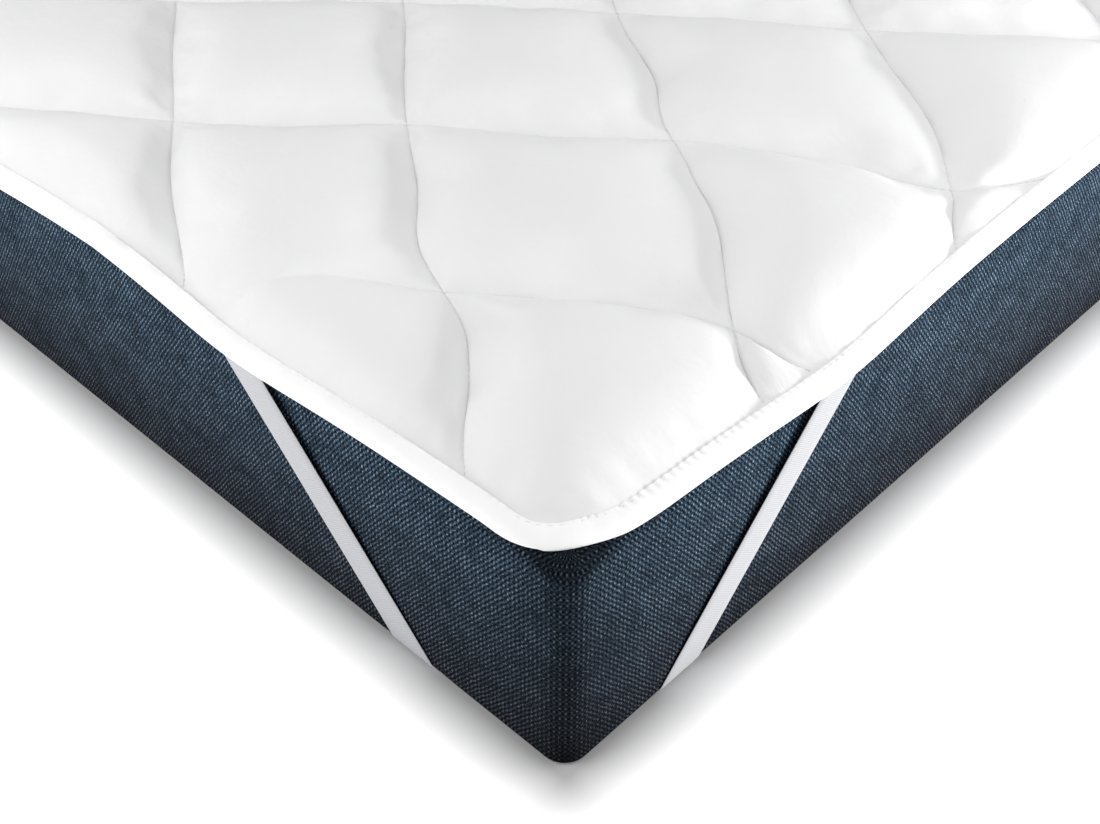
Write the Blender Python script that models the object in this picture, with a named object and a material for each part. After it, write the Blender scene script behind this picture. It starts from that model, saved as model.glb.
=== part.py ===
"""Single mattress with a quilted topper, which four elastic straps hold round the mattress's lower corners.

Metres, +Z up. The origin is on the floor under the middle of the mattress. X runs across the bed, Y along it.
The short sides face -Y and +Y, and the long sides face -X and +X.
"""

import math
from collections import namedtuple

import bmesh
import bpy
from mathutils import Vector

# Mattress
MATTRESS_WIDTH = 0.900
MATTRESS_LENGTH = 2.000
MATTRESS_HEIGHT = 0.180
MATTRESS_CORNER_RADIUS = 0.018
TOP_EDGE_RADIUS = 0.014
BOTTOM_EDGE_RADIUS = 0.0028

# Topper: its edge tape, seen from above, is a rounded rectangle just past the mattress's sides
TOPPER_OVERHANG = 0.001
TOPPER_CORNER_RADIUS = 0.056
TOPPER_LIFT = 0.0003
QUILT_CREST = 0.0172
QUILT_FULLNESS = 2.6
SEAM_TOP = MATTRESS_HEIGHT + 0.0058
RIM_PUFF_REACH = 0.060

# Quilted diamonds: seam crossings stand in columns counted from the long side at +X and rows counted from -Y
HALF_DIAMOND_X = 0.159
HALF_DIAMOND_Y = 0.123
FIRST_COLUMN = 0.078
FIRST_ROW = 0.125
DIAMOND_STEPS = (0.0, 0.05, 0.15, 0.3, 0.5, 0.7, 0.85, 0.95)

# Edge tape, folded round the topper's rim
TAPE_WIDTH = 0.0155
TAPE_UNDER_WIDTH = 0.012
TAPE_THICKNESS = 0.001
TAPE_HALF_HEIGHT = 0.0027
TAPE_SHOULDER_INWARD = 0.0008
TAPE_SHOULDER_ABOVE = 0.0016
TAPE_SLOPE = math.radians(14.0)
TAPE_TIP_HEIGHT = MATTRESS_HEIGHT + 0.0013
CORNER_LIFT = 0.0023
CORNER_LIFT_REACH = 0.080
RIM_HALF_THICKNESS = 0.0011
RIM_INSIDE_TAPE = 0.004
UNDERSIDE_INSET = 0.010

# Straps
STRAP_WIDTH = 0.030
STRAP_THICKNESS = 0.0012
STRAP_GAP = 0.0005
STRAP_TOP_HEIGHT = 0.1744
STRAP_LEAN = 0.0044
BEND_EXTRA_RADIUS = 0.001
GROOVE_MARGIN = 0.00035
GROOVE_DEPTH_BELOW = 0.005
GROOVE_SIDE_MARGIN = 0.001
GROOVE_TOP = 0.022
PULL_OUT = 0.0085
PULL_DOWN = 0.0050
PULL_STEEPEN = math.radians(8.0)
PULL_SPREAD = 0.105
PULL_REACH_INWARD = 0.070

# Facets
CORNER_STEPS = 8
MATTRESS_CORNER_STEPS = 6
EDGE_STEPS = 4
RIM_SPACING = 0.050
BEND_STEPS = 5
SHORTEST_EDGE = 0.002

# How far a strap crosses each side from the corner: where it turns under, and where it meets the topper
StrapRun = namedtuple("StrapRun", "foot top")
SHORT_SIDE_RUN = StrapRun(foot=0.136, top=0.288)
LONG_SIDE_RUN = StrapRun(foot=0.105, top=0.251)

# The quilting is pulled out of true round the corner at +X, -Y: where, by how much, and how far round that
# place. Places and moves are measured away from the two sides that meet at the corner.
QuiltDrift = namedtuple("QuiltDrift", "from_long_side from_short_side off_long_side off_short_side reach")
QUILT_DRIFTS = (
    QuiltDrift(0.237, 0.125, -0.004, -0.001, 0.110),
    QuiltDrift(0.078, 0.248, -0.011, -0.004, 0.110),
    QuiltDrift(0.555, 0.125, -0.018, 0.004, 0.110),
    QuiltDrift(0.396, 0.248, 0.009, 0.002, 0.110),
    QuiltDrift(0.237, 0.371, 0.008, 0.000, 0.110),
    QuiltDrift(0.078, 0.494, -0.022, -0.036, 0.110),
    QuiltDrift(0.714, 0.248, -0.021, -0.003, 0.110),
    QuiltDrift(0.555, 0.371, -0.005, 0.007, 0.110),
    QuiltDrift(0.396, 0.494, 0.010, -0.003, 0.110),
    QuiltDrift(0.237, 0.617, 0.000, -0.003, 0.110),
    QuiltDrift(0.396, 0.000, -0.055, 0.000, 0.100),
    QuiltDrift(0.000, 0.305, 0.000, -0.066, 0.085),
    QuiltDrift(0.000, 0.437, 0.000, -0.024, 0.060),
    QuiltDrift(0.175, 0.078, -0.014, 0.000, 0.055),
    QuiltDrift(0.150, 0.180, -0.003, 0.003, 0.060),
    QuiltDrift(0.140, 0.440, -0.003, 0.008, 0.050),
    QuiltDrift(0.160, 0.310, 0.000, 0.010, 0.050),
    QuiltDrift(0.320, 0.430, -0.012, 0.000, 0.050),
    QuiltDrift(0.285, 0.155, 0.006, -0.008, 0.045),
    QuiltDrift(0.205, 0.110, -0.004, 0.005, 0.035),
    QuiltDrift(0.130, 0.540, -0.007, 0.010, 0.060),
    QuiltDrift(0.460, 0.180, -0.005, -0.006, 0.080),
    QuiltDrift(0.310, 0.310, -0.004, -0.005, 0.070),
    QuiltDrift(0.215, 0.360, -0.003, 0.004, 0.035),
)
DRIFT_FREE_FROM_SIDE = 0.070

# Of the seams across that corner, the first is the one that clears it, and that seam fades towards the short side
FIRST_SEAM_ACROSS = 0
SeamFade = namedtuple("SeamFade", "from_long_side from_short_side share reach")
SEAM_FADE = SeamFade(from_long_side=0.325, from_short_side=0.057, share=0.85, reach=0.080)

CORNERS = {
    "front_right": (1, -1),
    "front_left": (-1, -1),
    "back_right": (1, 1),
    "back_left": (-1, 1),
}

Finish = namedtuple("Finish", "colour roughness")
QUILT_COTTON = Finish(colour=(0.90, 0.90, 0.91), roughness=0.75)
TAPE_COTTON = Finish(colour=(0.93, 0.93, 0.94), roughness=0.65)
STRAP_ELASTIC = Finish(colour=(0.80, 0.81, 0.83), roughness=0.70)
MATTRESS_DENIM = Finish(colour=(0.030, 0.055, 0.095), roughness=0.90)


# -------------------------------------------------------------------------------- shared helpers

def clear_scene():
    for item in list(bpy.data.objects):
        bpy.data.objects.remove(item, do_unlink=True)


def make_material(name, finish):
    material = bpy.data.materials.new(name)
    material.use_nodes = True
    shader = material.node_tree.nodes["Principled BSDF"]
    shader.inputs["Base Color"].default_value = (*finish.colour, 1.0)
    shader.inputs["Roughness"].default_value = finish.roughness
    shader.inputs["Metallic"].default_value = 0.0
    return material


def make_object(name, builder, material, smooth_angle=40.0):
    """Turn a bmesh into a named, smooth-shaded object with its faces pointing out."""
    bmesh.ops.recalc_face_normals(builder, faces=builder.faces)
    mesh = bpy.data.meshes.new(name)
    builder.to_mesh(mesh)
    builder.free()
    mesh.materials.append(material)
    mesh.shade_smooth()
    mesh.set_sharp_from_angle(angle=math.radians(smooth_angle))
    item = bpy.data.objects.new(name, mesh)
    bpy.context.scene.collection.objects.link(item)
    return item


def loft(builder, sections, closed):
    """Skin equal sections in order. A closed loft ends on its first section, an open one is capped."""
    rings = [[builder.verts.new(point) for point in section] for section in sections]
    count = len(rings[0])
    pairs = list(zip(rings, rings[1:]))
    if closed:
        pairs.append((rings[-1], rings[0]))
    for first, second in pairs:
        for k in range(count):
            after = (k + 1) % count
            builder.faces.new((first[k], first[after], second[after], second[k]))
    if not closed:
        builder.faces.new(rings[0])
        builder.faces.new(reversed(rings[-1]))


def lerp(a, b, t):
    return a + (b - a) * t


def rounded_rectangle(half_x, half_y, radius, steps, spacing=None):
    """Stations round a rounded rectangle, each a plan point and its outward direction."""
    stations = []
    for turn, (sign_x, sign_y) in enumerate(((1, 1), (-1, 1), (-1, -1), (1, -1))):
        centre = Vector((sign_x * (half_x - radius), sign_y * (half_y - radius)))
        for k in range(steps + 1):
            angle = math.pi / 2 * (turn + k / steps)
            outward = Vector((math.cos(angle), math.sin(angle)))
            stations.append((centre + outward * radius, outward))
        if spacing:
            along = Vector((-outward.y, outward.x))
            run = 2 * ((half_y if turn % 2 else half_x) - radius)
            pieces = max(1, round(run / spacing))
            start = stations[-1][0]
            stations += [(start + along * (run * k / pieces), outward) for k in range(1, pieces)]
    return stations


# -------------------------------------------------------------------------------- mattress

def edge_rings():
    """Inset and height of each ring up the mattress's side, from its flat underside to its flat top."""
    low, high = BOTTOM_EDGE_RADIUS, TOP_EDGE_RADIUS
    quarter = [math.pi / 2 * k / EDGE_STEPS for k in range(EDGE_STEPS + 1)]
    bottom = [(low * (1 - math.sin(a)), low * (1 - math.cos(a))) for a in quarter]
    top = [(high * (1 - math.cos(a)), MATTRESS_HEIGHT - high * (1 - math.sin(a))) for a in quarter]
    return bottom + top


def build_mattress(material):
    builder = bmesh.new()
    sections = []
    for inset, height in edge_rings():
        outline = rounded_rectangle(
            MATTRESS_WIDTH / 2 - inset,
            MATTRESS_LENGTH / 2 - inset,
            MATTRESS_CORNER_RADIUS - inset,
            MATTRESS_CORNER_STEPS,
        )
        sections.append([(point.x, point.y, height) for point, _ in outline])
    loft(builder, sections, closed=False)
    return make_object("mattress", builder, material)


# -------------------------------------------------------------------------------- straps' pull

def strap_pull(x, y):
    """How strongly the straps pull on the topper's edge at a plan point, from 0 to about 1."""
    half_x, half_y = MATTRESS_WIDTH / 2, MATTRESS_LENGTH / 2
    pull = 0.0
    for sign_x, sign_y in CORNERS.values():
        ends = (
            (sign_x * (half_x - SHORT_SIDE_RUN.top), sign_y * half_y),
            (sign_x * half_x, sign_y * (half_y - LONG_SIDE_RUN.top)),
        )
        for end_x, end_y in ends:
            distance = math.hypot(x - end_x, y - end_y)
            pull = max(pull, 1.0 / (1.0 + (distance / PULL_SPREAD) ** 2))
    return pull


def corner_lift(x, y):
    """How much higher the tape's tip is near a corner, where it lies on the mattress's flat top."""
    from_corner = math.hypot(MATTRESS_WIDTH / 2 - abs(x), MATTRESS_LENGTH / 2 - abs(y))
    return CORNER_LIFT * math.exp(-((from_corner / CORNER_LIFT_REACH) ** 2))


# -------------------------------------------------------------------------------- topper's rim

class RimStation:
    """One place round the topper's edge: where its tape's tip is, and how the tape slopes up from there."""

    def __init__(self, point, outward):
        self.stitch_plan = point
        tip_plan = point + outward * (TAPE_WIDTH * math.cos(TAPE_SLOPE))
        pull = strap_pull(tip_plan.x, tip_plan.y)
        self.outward = outward
        self.tip_plan = tip_plan + outward * (PULL_OUT * pull)
        self.tip_height = TAPE_TIP_HEIGHT - PULL_DOWN * pull + corner_lift(tip_plan.x, tip_plan.y)
        self.slope = TAPE_SLOPE + PULL_STEEPEN * pull

    def at(self, inward, above):
        """A point so far in from the tip along the tape's slope, and so far above the tape's middle."""
        reach = -inward * math.cos(self.slope) + above * math.sin(self.slope)
        rise = inward * math.sin(self.slope) + above * math.cos(self.slope)
        plan = self.tip_plan + self.outward * reach
        return Vector((plan.x, plan.y, self.tip_height + rise))

    def inset_plan(self, inset):
        return self.stitch_plan - self.outward * inset


def stitch_rectangle():
    """Half width, half length and corner radius of the line that sews the tape on, seen from above."""
    tape_run = TAPE_WIDTH * math.cos(TAPE_SLOPE)
    inset = tape_run - TOPPER_OVERHANG
    return MATTRESS_WIDTH / 2 - inset, MATTRESS_LENGTH / 2 - inset, TOPPER_CORNER_RADIUS - tape_run


def rim_stations():
    outline = rounded_rectangle(*stitch_rectangle(), CORNER_STEPS, RIM_SPACING)
    return [RimStation(point, outward) for point, outward in outline]


def build_edge_tape(stations, material):
    outer, inner = TAPE_HALF_HEIGHT, TAPE_HALF_HEIGHT - TAPE_THICKNESS
    section = (
        (TAPE_WIDTH, outer),
        (outer, outer),
        (TAPE_SHOULDER_INWARD, TAPE_SHOULDER_ABOVE),
        (0.0, 0.0),
        (TAPE_SHOULDER_INWARD, -TAPE_SHOULDER_ABOVE),
        (outer, -outer),
        (TAPE_UNDER_WIDTH, -outer),
        (TAPE_UNDER_WIDTH, -inner),
        (outer, -inner),
        (outer, inner),
        (TAPE_WIDTH, inner),
    )
    builder = bmesh.new()
    loft(builder, [[s.at(inward, above) for inward, above in section] for s in stations], closed=True)
    return make_object("edge_tape", builder, material)


# -------------------------------------------------------------------------------- quilted pad

def seam_coordinates(x, y):
    """Place a plan point between the two sets of seams: whole numbers lie on a seam."""
    column = (MATTRESS_WIDTH / 2 - FIRST_COLUMN - x) / HALF_DIAMOND_X
    row = (y + MATTRESS_LENGTH / 2 - FIRST_ROW) / HALF_DIAMOND_Y
    return (column + row - 1) / 2, (column - row - 1) / 2


def plan_from_seams(across, along):
    """The even place in plan between the two sets of seams, the other way round."""
    column = across + along + 1
    row = across - along
    return Vector((
        MATTRESS_WIDTH / 2 - FIRST_COLUMN - HALF_DIAMOND_X * column,
        -MATTRESS_LENGTH / 2 + FIRST_ROW + HALF_DIAMOND_Y * row,
    ))


def drifted_plan(x, y):
    """Where a point of the even plan really lies. Close to a side it has only slid along that side."""
    from_long, from_short = MATTRESS_WIDTH / 2 - x, y + MATTRESS_LENGTH / 2
    off_long = off_short = 0.0
    for drift in QUILT_DRIFTS:
        away = math.hypot(from_long - drift.from_long_side, from_short - drift.from_short_side)
        weight = math.exp(-((away / drift.reach) ** 2))
        off_long += weight * drift.off_long_side
        off_short += weight * drift.off_short_side
    off_long *= min(max(from_long / DRIFT_FREE_FROM_SIDE, 0.0), 1.0)
    off_short *= min(max(from_short / DRIFT_FREE_FROM_SIDE, 0.0), 1.0)
    return Vector((x - off_long, y + off_short))


def puff(distance, reach):
    """Fullness of the filling at a distance from a seam: 0 on the seam and 1 in mid panel."""
    near = min(max(distance / reach, 0.0), 1.0)
    return 1.0 - (1.0 - near) ** QUILT_FULLNESS


def distance_to_rim(x, y):
    half_x, half_y, radius = stitch_rectangle()
    over_x, over_y = abs(x) - (half_x - radius), abs(y) - (half_y - radius)
    if over_x > 0 and over_y > 0:
        return radius - math.hypot(over_x, over_y)
    return min(half_x - abs(x), half_y - abs(y))


def seam_fade(x, y):
    """How far the seam that fades is filled out at a plan point, from 0 to its share."""
    off_long = MATTRESS_WIDTH / 2 - x - SEAM_FADE.from_long_side
    off_short = y + MATTRESS_LENGTH / 2 - SEAM_FADE.from_short_side
    return SEAM_FADE.share * math.exp(-((math.hypot(off_long, off_short) / SEAM_FADE.reach) ** 2))


def seam_fullness(x, y):
    """Fullness of the filling between the seams round a point of the even plan."""
    seam_spacing = 2 * HALF_DIAMOND_X * HALF_DIAMOND_Y / math.hypot(HALF_DIAMOND_X, HALF_DIAMOND_Y)
    across, along = seam_coordinates(x, y)
    from_across = abs(across - max(round(across), FIRST_SEAM_ACROSS)) * seam_spacing
    from_along = abs(along - round(along)) * seam_spacing
    between_across = lerp(puff(from_across, seam_spacing / 2), 1.0, seam_fade(x, y))
    return between_across * puff(from_along, seam_spacing / 2)


def quilted_point(x, y):
    """The top of the quilting over one point of the even plan."""
    rim = distance_to_rim(x, y)
    fullness = puff(rim, RIM_PUFF_REACH) * seam_fullness(x, y)
    plan = drifted_plan(x, y)
    pull = strap_pull(plan.x, plan.y) * (1.0 - min(rim / PULL_REACH_INWARD, 1.0)) ** 2
    towards_edge = Vector((math.copysign(1.0, x), 0.0))
    if MATTRESS_LENGTH / 2 - abs(y) < MATTRESS_WIDTH / 2 - abs(x):
        towards_edge = Vector((0.0, math.copysign(1.0, y)))
    plan += towards_edge * (PULL_OUT * pull)
    height = SEAM_TOP - PULL_DOWN * pull / 2 + QUILT_CREST * fullness
    return Vector((plan.x, plan.y, height))


def diamond_grid(builder):
    """A flat grid whose lines follow the seams, closer near each seam, over more than the whole topper."""
    reach = MATTRESS_WIDTH / HALF_DIAMOND_X + MATTRESS_LENGTH / HALF_DIAMOND_Y
    panels = range(-math.ceil(reach / 2) - 1, math.ceil(reach / 2) + 2)
    lines = [panel + step for panel in panels for step in DIAMOND_STEPS]
    margin = max(HALF_DIAMOND_X, HALF_DIAMOND_Y)
    verts = {}

    def vertex(a, b):
        if (a, b) not in verts:
            plan = plan_from_seams(lines[a], lines[b])
            verts[a, b] = builder.verts.new((plan.x, plan.y, 0.0))
        return verts[a, b]

    for a in range(len(lines) - 1):
        for b in range(len(lines) - 1):
            middle = plan_from_seams((lines[a] + lines[a + 1]) / 2, (lines[b] + lines[b + 1]) / 2)
            if abs(middle.x) < MATTRESS_WIDTH / 2 + margin and abs(middle.y) < MATTRESS_LENGTH / 2 + margin:
                builder.faces.new((vertex(a, b), vertex(a + 1, b), vertex(a + 1, b + 1), vertex(a, b + 1)))


def clip_to_rim(builder):
    """Trim the flat grid to the polygon of the stitch line."""
    corners = rounded_rectangle(*stitch_rectangle(), CORNER_STEPS)
    for (start, _), (end, _) in zip(corners, corners[1:] + corners[:1]):
        bmesh.ops.bisect_plane(
            builder,
            geom=builder.verts[:] + builder.edges[:] + builder.faces[:],
            plane_co=(start.x, start.y, 0.0),
            plane_no=(end.y - start.y, start.x - end.x, 0.0),
            clear_outer=True,
        )


def rim_loop(builder):
    """The vertices round the trimmed grid, in order."""
    start = next(edge for edge in builder.edges if edge.is_boundary)
    loop = list(start.verts)
    while True:
        here, before = loop[-1], loop[-2]
        edges = [edge for edge in here.link_edges if edge.is_boundary and before not in edge.verts]
        after = edges[0].other_vert(here)
        if after == loop[0]:
            return loop
        loop.append(after)


def nearest_rim_place(stations, point):
    """The stretch of rim nearest to a plan point: its two stations, and how far along it the point is."""
    places = []
    for first, second in zip(stations, stations[1:] + stations[:1]):
        chord = second.stitch_plan - first.stitch_plan
        along = min(max((point - first.stitch_plan).dot(chord) / chord.length_squared, 0.0), 1.0)
        distance = (first.stitch_plan + chord * along - point).length
        places.append((distance, len(places), first, second, along))
    return min(places)[2:]


def build_quilted_pad(stations, material):
    builder = bmesh.new()
    diamond_grid(builder)
    clip_to_rim(builder)
    bmesh.ops.remove_doubles(builder, verts=builder.verts[:], dist=SHORTEST_EDGE)
    rim = rim_loop(builder)
    places = [nearest_rim_place(stations, drifted_plan(vert.co.x, vert.co.y)) for vert in rim]

    for vert in set(builder.verts) - set(rim):
        vert.co = quilted_point(vert.co.x, vert.co.y)

    def around(inward, above):
        return [lerp(a.at(inward, above), b.at(inward, above), along) for a, b, along in places]

    for vert, point in zip(rim, around(TAPE_WIDTH, RIM_HALF_THICKNESS)):
        vert.co = point
    underside = MATTRESS_HEIGHT + TOPPER_LIFT
    resting = [
        lerp(a.inset_plan(UNDERSIDE_INSET), b.inset_plan(UNDERSIDE_INSET), along) for a, b, along in places
    ]
    rings = (
        around(RIM_INSIDE_TAPE, RIM_HALF_THICKNESS),
        around(RIM_INSIDE_TAPE, -RIM_HALF_THICKNESS),
        around(TAPE_WIDTH, -RIM_HALF_THICKNESS),
        [(plan.x, plan.y, underside) for plan in resting],
    )
    above = rim
    for points in rings:
        below = [builder.verts.new(point) for point in points]
        for k in range(len(rim)):
            after = (k + 1) % len(rim)
            builder.faces.new((above[k], above[after], below[after], below[k]))
        above = below
    builder.faces.new(above)
    bmesh.ops.triangulate(builder, faces=builder.faces[:])
    return make_object("quilted_pad", builder, material)


# -------------------------------------------------------------------------------- straps

class StrapSide:
    """One of the two sides that a strap crosses, with its own along-the-side and outward directions."""

    def __init__(self, sign_x, sign_y, run, on_short_side, foot_of_other):
        self.run = run
        self.lean = (run.top - run.foot) / MATTRESS_HEIGHT
        self.corner = Vector((sign_x * MATTRESS_WIDTH / 2, sign_y * MATTRESS_LENGTH / 2))
        self.along = Vector((-sign_x, 0.0)) if on_short_side else Vector((0.0, -sign_y))
        self.outward = Vector((0.0, sign_y)) if on_short_side else Vector((sign_x, 0.0))
        self.half_on_side = STRAP_WIDTH / 2 * math.hypot(self.lean, 1.0)
        self.half_below = STRAP_WIDTH / 2 * math.hypot(run.foot / foot_of_other, 1.0)

    def section(self, climb, middle, facing, half_length, groove):
        """Four corners of the strap, or of its groove, on a line along the side.

        climb is the height on the flattened-out strap. middle says how far out and how high its middle
        surface is, and facing is the direction away from the mattress there, in the same two terms.
        """
        inner = -STRAP_THICKNESS / 2 - (GROOVE_MARGIN if groove else 0.0)
        outer = STRAP_THICKNESS / 2 + (GROOVE_DEPTH_BELOW if groove else 0.0)
        half = half_length + (GROOVE_SIDE_MARGIN if groove else 0.0)
        centre = self.run.foot + self.lean * climb
        points = []
        for face, end in ((inner, -half), (inner, half), (outer, half), (outer, -half)):
            out, height = middle[0] + facing[0] * face, middle[1] + facing[1] * face
            plan = self.corner + self.along * (centre + end) + self.outward * out
            points.append((plan.x, plan.y, height))
        return points

    def sections(self, groove):
        """Sections from the top of the side down and round the mattress's lower edge."""
        proud = STRAP_GAP + STRAP_THICKNESS / 2
        radius = BOTTOM_EDGE_RADIUS + BEND_EXTRA_RADIUS
        centre_out, centre_height = proud - radius, proud + radius
        top, lean = (GROOVE_TOP, 0.0) if groove else (STRAP_TOP_HEIGHT, STRAP_LEAN)
        found = [self.section(top, (proud + lean, top), (1.0, 0.0), self.half_on_side, groove)]
        for k in range(BEND_STEPS + 1):
            angle = math.pi / 2 * k / BEND_STEPS
            facing = (math.cos(angle), -math.sin(angle))
            middle = (centre_out + radius * facing[0], centre_height + radius * facing[1])
            half = lerp(self.half_on_side, self.half_below, k / BEND_STEPS)
            found.append(self.section(centre_height - radius * angle, middle, facing, half, groove))
        return found


def strap_sections(sign_x, sign_y, groove):
    """Down one side, under the mattress's corner and up the other side."""
    short = StrapSide(sign_x, sign_y, SHORT_SIDE_RUN, True, LONG_SIDE_RUN.foot)
    long = StrapSide(sign_x, sign_y, LONG_SIDE_RUN, False, SHORT_SIDE_RUN.foot)
    return short.sections(groove) + long.sections(groove)[::-1]


def build_strap(name, sign_x, sign_y, material):
    builder = bmesh.new()
    loft(builder, strap_sections(sign_x, sign_y, groove=False), closed=False)
    return make_object(name, builder, material)


def cut_strap_grooves(mattress, material):
    """Sink each strap's run under the mattress, so that the mattress's underside rests flat."""
    builder = bmesh.new()
    for sign_x, sign_y in CORNERS.values():
        loft(builder, strap_sections(sign_x, sign_y, groove=True), closed=False)
    cutter = make_object("strap_groove_cutter", builder, material)
    cutter.hide_render = True
    cutter.display_type = "WIRE"
    grooves = mattress.modifiers.new("strap_grooves", "BOOLEAN")
    grooves.operation = "DIFFERENCE"
    grooves.solver = "EXACT"
    grooves.object = cutter


def main():
    clear_scene()
    denim = make_material("mattress_denim", MATTRESS_DENIM)
    quilt = make_material("quilt_cotton", QUILT_COTTON)
    tape = make_material("tape_cotton", TAPE_COTTON)
    elastic = make_material("strap_elastic", STRAP_ELASTIC)
    mattress = build_mattress(denim)
    cut_strap_grooves(mattress, denim)
    stations = rim_stations()
    build_quilted_pad(stations, quilt)
    build_edge_tape(stations, tape)
    for corner, (sign_x, sign_y) in CORNERS.items():
        build_strap(f"strap_{corner}", sign_x, sign_y, elastic)


main()
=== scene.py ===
"""Dresses a quilted mattress topper that four elastic straps hold on a denim-covered mattress.

Metres, +Z up. The origin is on the floor under the middle of the mattress. X runs across the bed, Y along it.
The short sides face -Y and +Y, and the long sides face -X and +X. The strapped corner at +X, -Y is the nearest.
"""

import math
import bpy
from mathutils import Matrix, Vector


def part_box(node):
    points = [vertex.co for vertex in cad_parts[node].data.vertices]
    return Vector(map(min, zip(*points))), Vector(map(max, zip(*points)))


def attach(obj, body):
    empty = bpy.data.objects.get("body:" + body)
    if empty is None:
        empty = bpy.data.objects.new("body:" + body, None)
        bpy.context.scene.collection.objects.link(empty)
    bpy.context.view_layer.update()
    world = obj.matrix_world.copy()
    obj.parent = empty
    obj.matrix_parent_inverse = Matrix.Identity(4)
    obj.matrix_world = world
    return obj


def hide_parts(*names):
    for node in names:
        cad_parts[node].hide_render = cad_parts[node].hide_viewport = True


bl_info = {
    "name": "Strapped mattress topper",
    "version": (1, 0, 0),
    "blender": (4, 5, 0),
    "location": "3D View > Sidebar > Topper",
    "description": "Builds a quilted topper, its edge tape, straps and stitches, and the mattress under them",
    "category": "Object",
}

from collections import namedtuple

import bmesh
import bpy
import numpy as np
from bpy.props import FloatProperty, FloatVectorProperty, IntProperty, PointerProperty
from mathutils import Vector, noise

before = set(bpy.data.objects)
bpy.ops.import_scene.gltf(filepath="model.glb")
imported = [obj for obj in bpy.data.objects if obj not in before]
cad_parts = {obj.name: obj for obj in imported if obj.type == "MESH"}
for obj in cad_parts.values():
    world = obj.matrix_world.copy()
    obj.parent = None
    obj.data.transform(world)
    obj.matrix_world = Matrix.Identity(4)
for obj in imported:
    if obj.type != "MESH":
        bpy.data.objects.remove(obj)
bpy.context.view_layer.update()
BED_LOW, BED_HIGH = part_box("mattress")

BED_WIDTH = BED_HIGH.x - BED_LOW.x
BED_LENGTH = BED_HIGH.y - BED_LOW.y
BED_HEIGHT = BED_HIGH.z

CORNERS = {
    "front_right": (1, -1),
    "front_left": (-1, -1),
    "back_right": (1, 1),
    "back_left": (-1, 1),
}

# Places beside the nearest corner are given by how far they are from the two sides that meet there.
# The quilting is pulled out of true round that corner: where, by how much, and how far round that place.
QuiltDrift = namedtuple("QuiltDrift", "from_long_side from_short_side off_long_side off_short_side reach")
QUILT_DRIFTS = (
    QuiltDrift(0.237, 0.125, -0.004, -0.001, 0.110),
    QuiltDrift(0.078, 0.248, -0.011, -0.004, 0.110),
    QuiltDrift(0.555, 0.125, -0.018, 0.004, 0.110),
    QuiltDrift(0.396, 0.248, 0.009, 0.002, 0.110),
    QuiltDrift(0.237, 0.371, 0.008, 0.000, 0.110),
    QuiltDrift(0.078, 0.494, -0.022, -0.036, 0.110),
    QuiltDrift(0.714, 0.248, -0.021, -0.003, 0.110),
    QuiltDrift(0.555, 0.371, -0.005, 0.007, 0.110),
    QuiltDrift(0.396, 0.494, 0.010, -0.003, 0.110),
    QuiltDrift(0.237, 0.617, 0.000, -0.003, 0.110),
    QuiltDrift(0.396, 0.000, -0.055, 0.000, 0.100),
    QuiltDrift(0.000, 0.305, 0.000, -0.066, 0.085),
    QuiltDrift(0.000, 0.437, 0.000, -0.024, 0.060),
    QuiltDrift(0.175, 0.078, -0.014, 0.000, 0.055),
    QuiltDrift(0.150, 0.180, -0.003, 0.003, 0.060),
    QuiltDrift(0.140, 0.440, -0.003, 0.008, 0.050),
    QuiltDrift(0.160, 0.310, 0.000, 0.010, 0.050),
    QuiltDrift(0.320, 0.430, -0.012, 0.000, 0.050),
    QuiltDrift(0.285, 0.155, 0.006, -0.008, 0.045),
    QuiltDrift(0.205, 0.110, -0.004, 0.005, 0.035),
    QuiltDrift(0.130, 0.540, -0.007, 0.010, 0.060),
    QuiltDrift(0.460, 0.180, -0.005, -0.006, 0.080),
    QuiltDrift(0.310, 0.310, -0.004, -0.005, 0.070),
    QuiltDrift(0.215, 0.360, -0.003, 0.004, 0.035),
)
DRIFT_FREE_FROM_SIDE = 0.070

# Of the seams that run across that corner, those nearer to it than the first aren't sewn. The first fades towards
# the short side, and where it has faded by more than FADED_OUT, it isn't sewn either.
FIRST_SEAM_ACROSS = 0
SeamFade = namedtuple("SeamFade", "from_long_side from_short_side share reach")
SEAM_FADE = SeamFade(from_long_side=0.325, from_short_side=0.057, share=0.85, reach=0.080)
FADED_OUT = 0.35

# How far a strap crosses each side from the corner: where it turns under, and where it meets the topper
StrapRun = namedtuple("StrapRun", "foot top")
SHORT_SIDE_RUN = StrapRun(foot=0.136, top=0.288)
LONG_SIDE_RUN = StrapRun(foot=0.105, top=0.251)

# The edge tape isn't quite round at the nearest corner: where it bulges or is drawn in, and how far round
TapeBulge = namedtuple("TapeBulge", "from_long_side from_short_side out reach")
TAPE_BULGES = (
    TapeBulge(0.031, 0.003, 0.0018, 0.022),
    TapeBulge(0.007, 0.032, -0.0040, 0.026),
)

# Where the stitches of the edge tape are drawn tightest, beside the nearest corner
StitchStrain = namedtuple("StitchStrain", "from_long_side from_short_side reach")
STITCH_STRAIN = StitchStrain(from_long_side=0.014, from_short_side=0.100, reach=0.095)

# The tape's two ends join at the nearest corner. From there its outer half rolls under and lies a step lower, and
# from flatten_start off the short side it comes back over flatten_run.
TapeJoin = namedtuple("TapeJoin", "from_long_side overlap flatten_start flatten_run roll step")
TAPE_JOIN = TapeJoin(
    from_long_side=0.0265, overlap=0.0012, flatten_start=0.020, flatten_run=0.050, roll=0.0009, step=0.0004
)


# -------------------------------------------------------------------------------- settings

def length(name, description, default):
    return FloatProperty(name=name, description=description, default=default, unit="LENGTH", precision=4)


def share(name, description, default):
    return FloatProperty(name=name, description=description, default=default, subtype="FACTOR")


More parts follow.
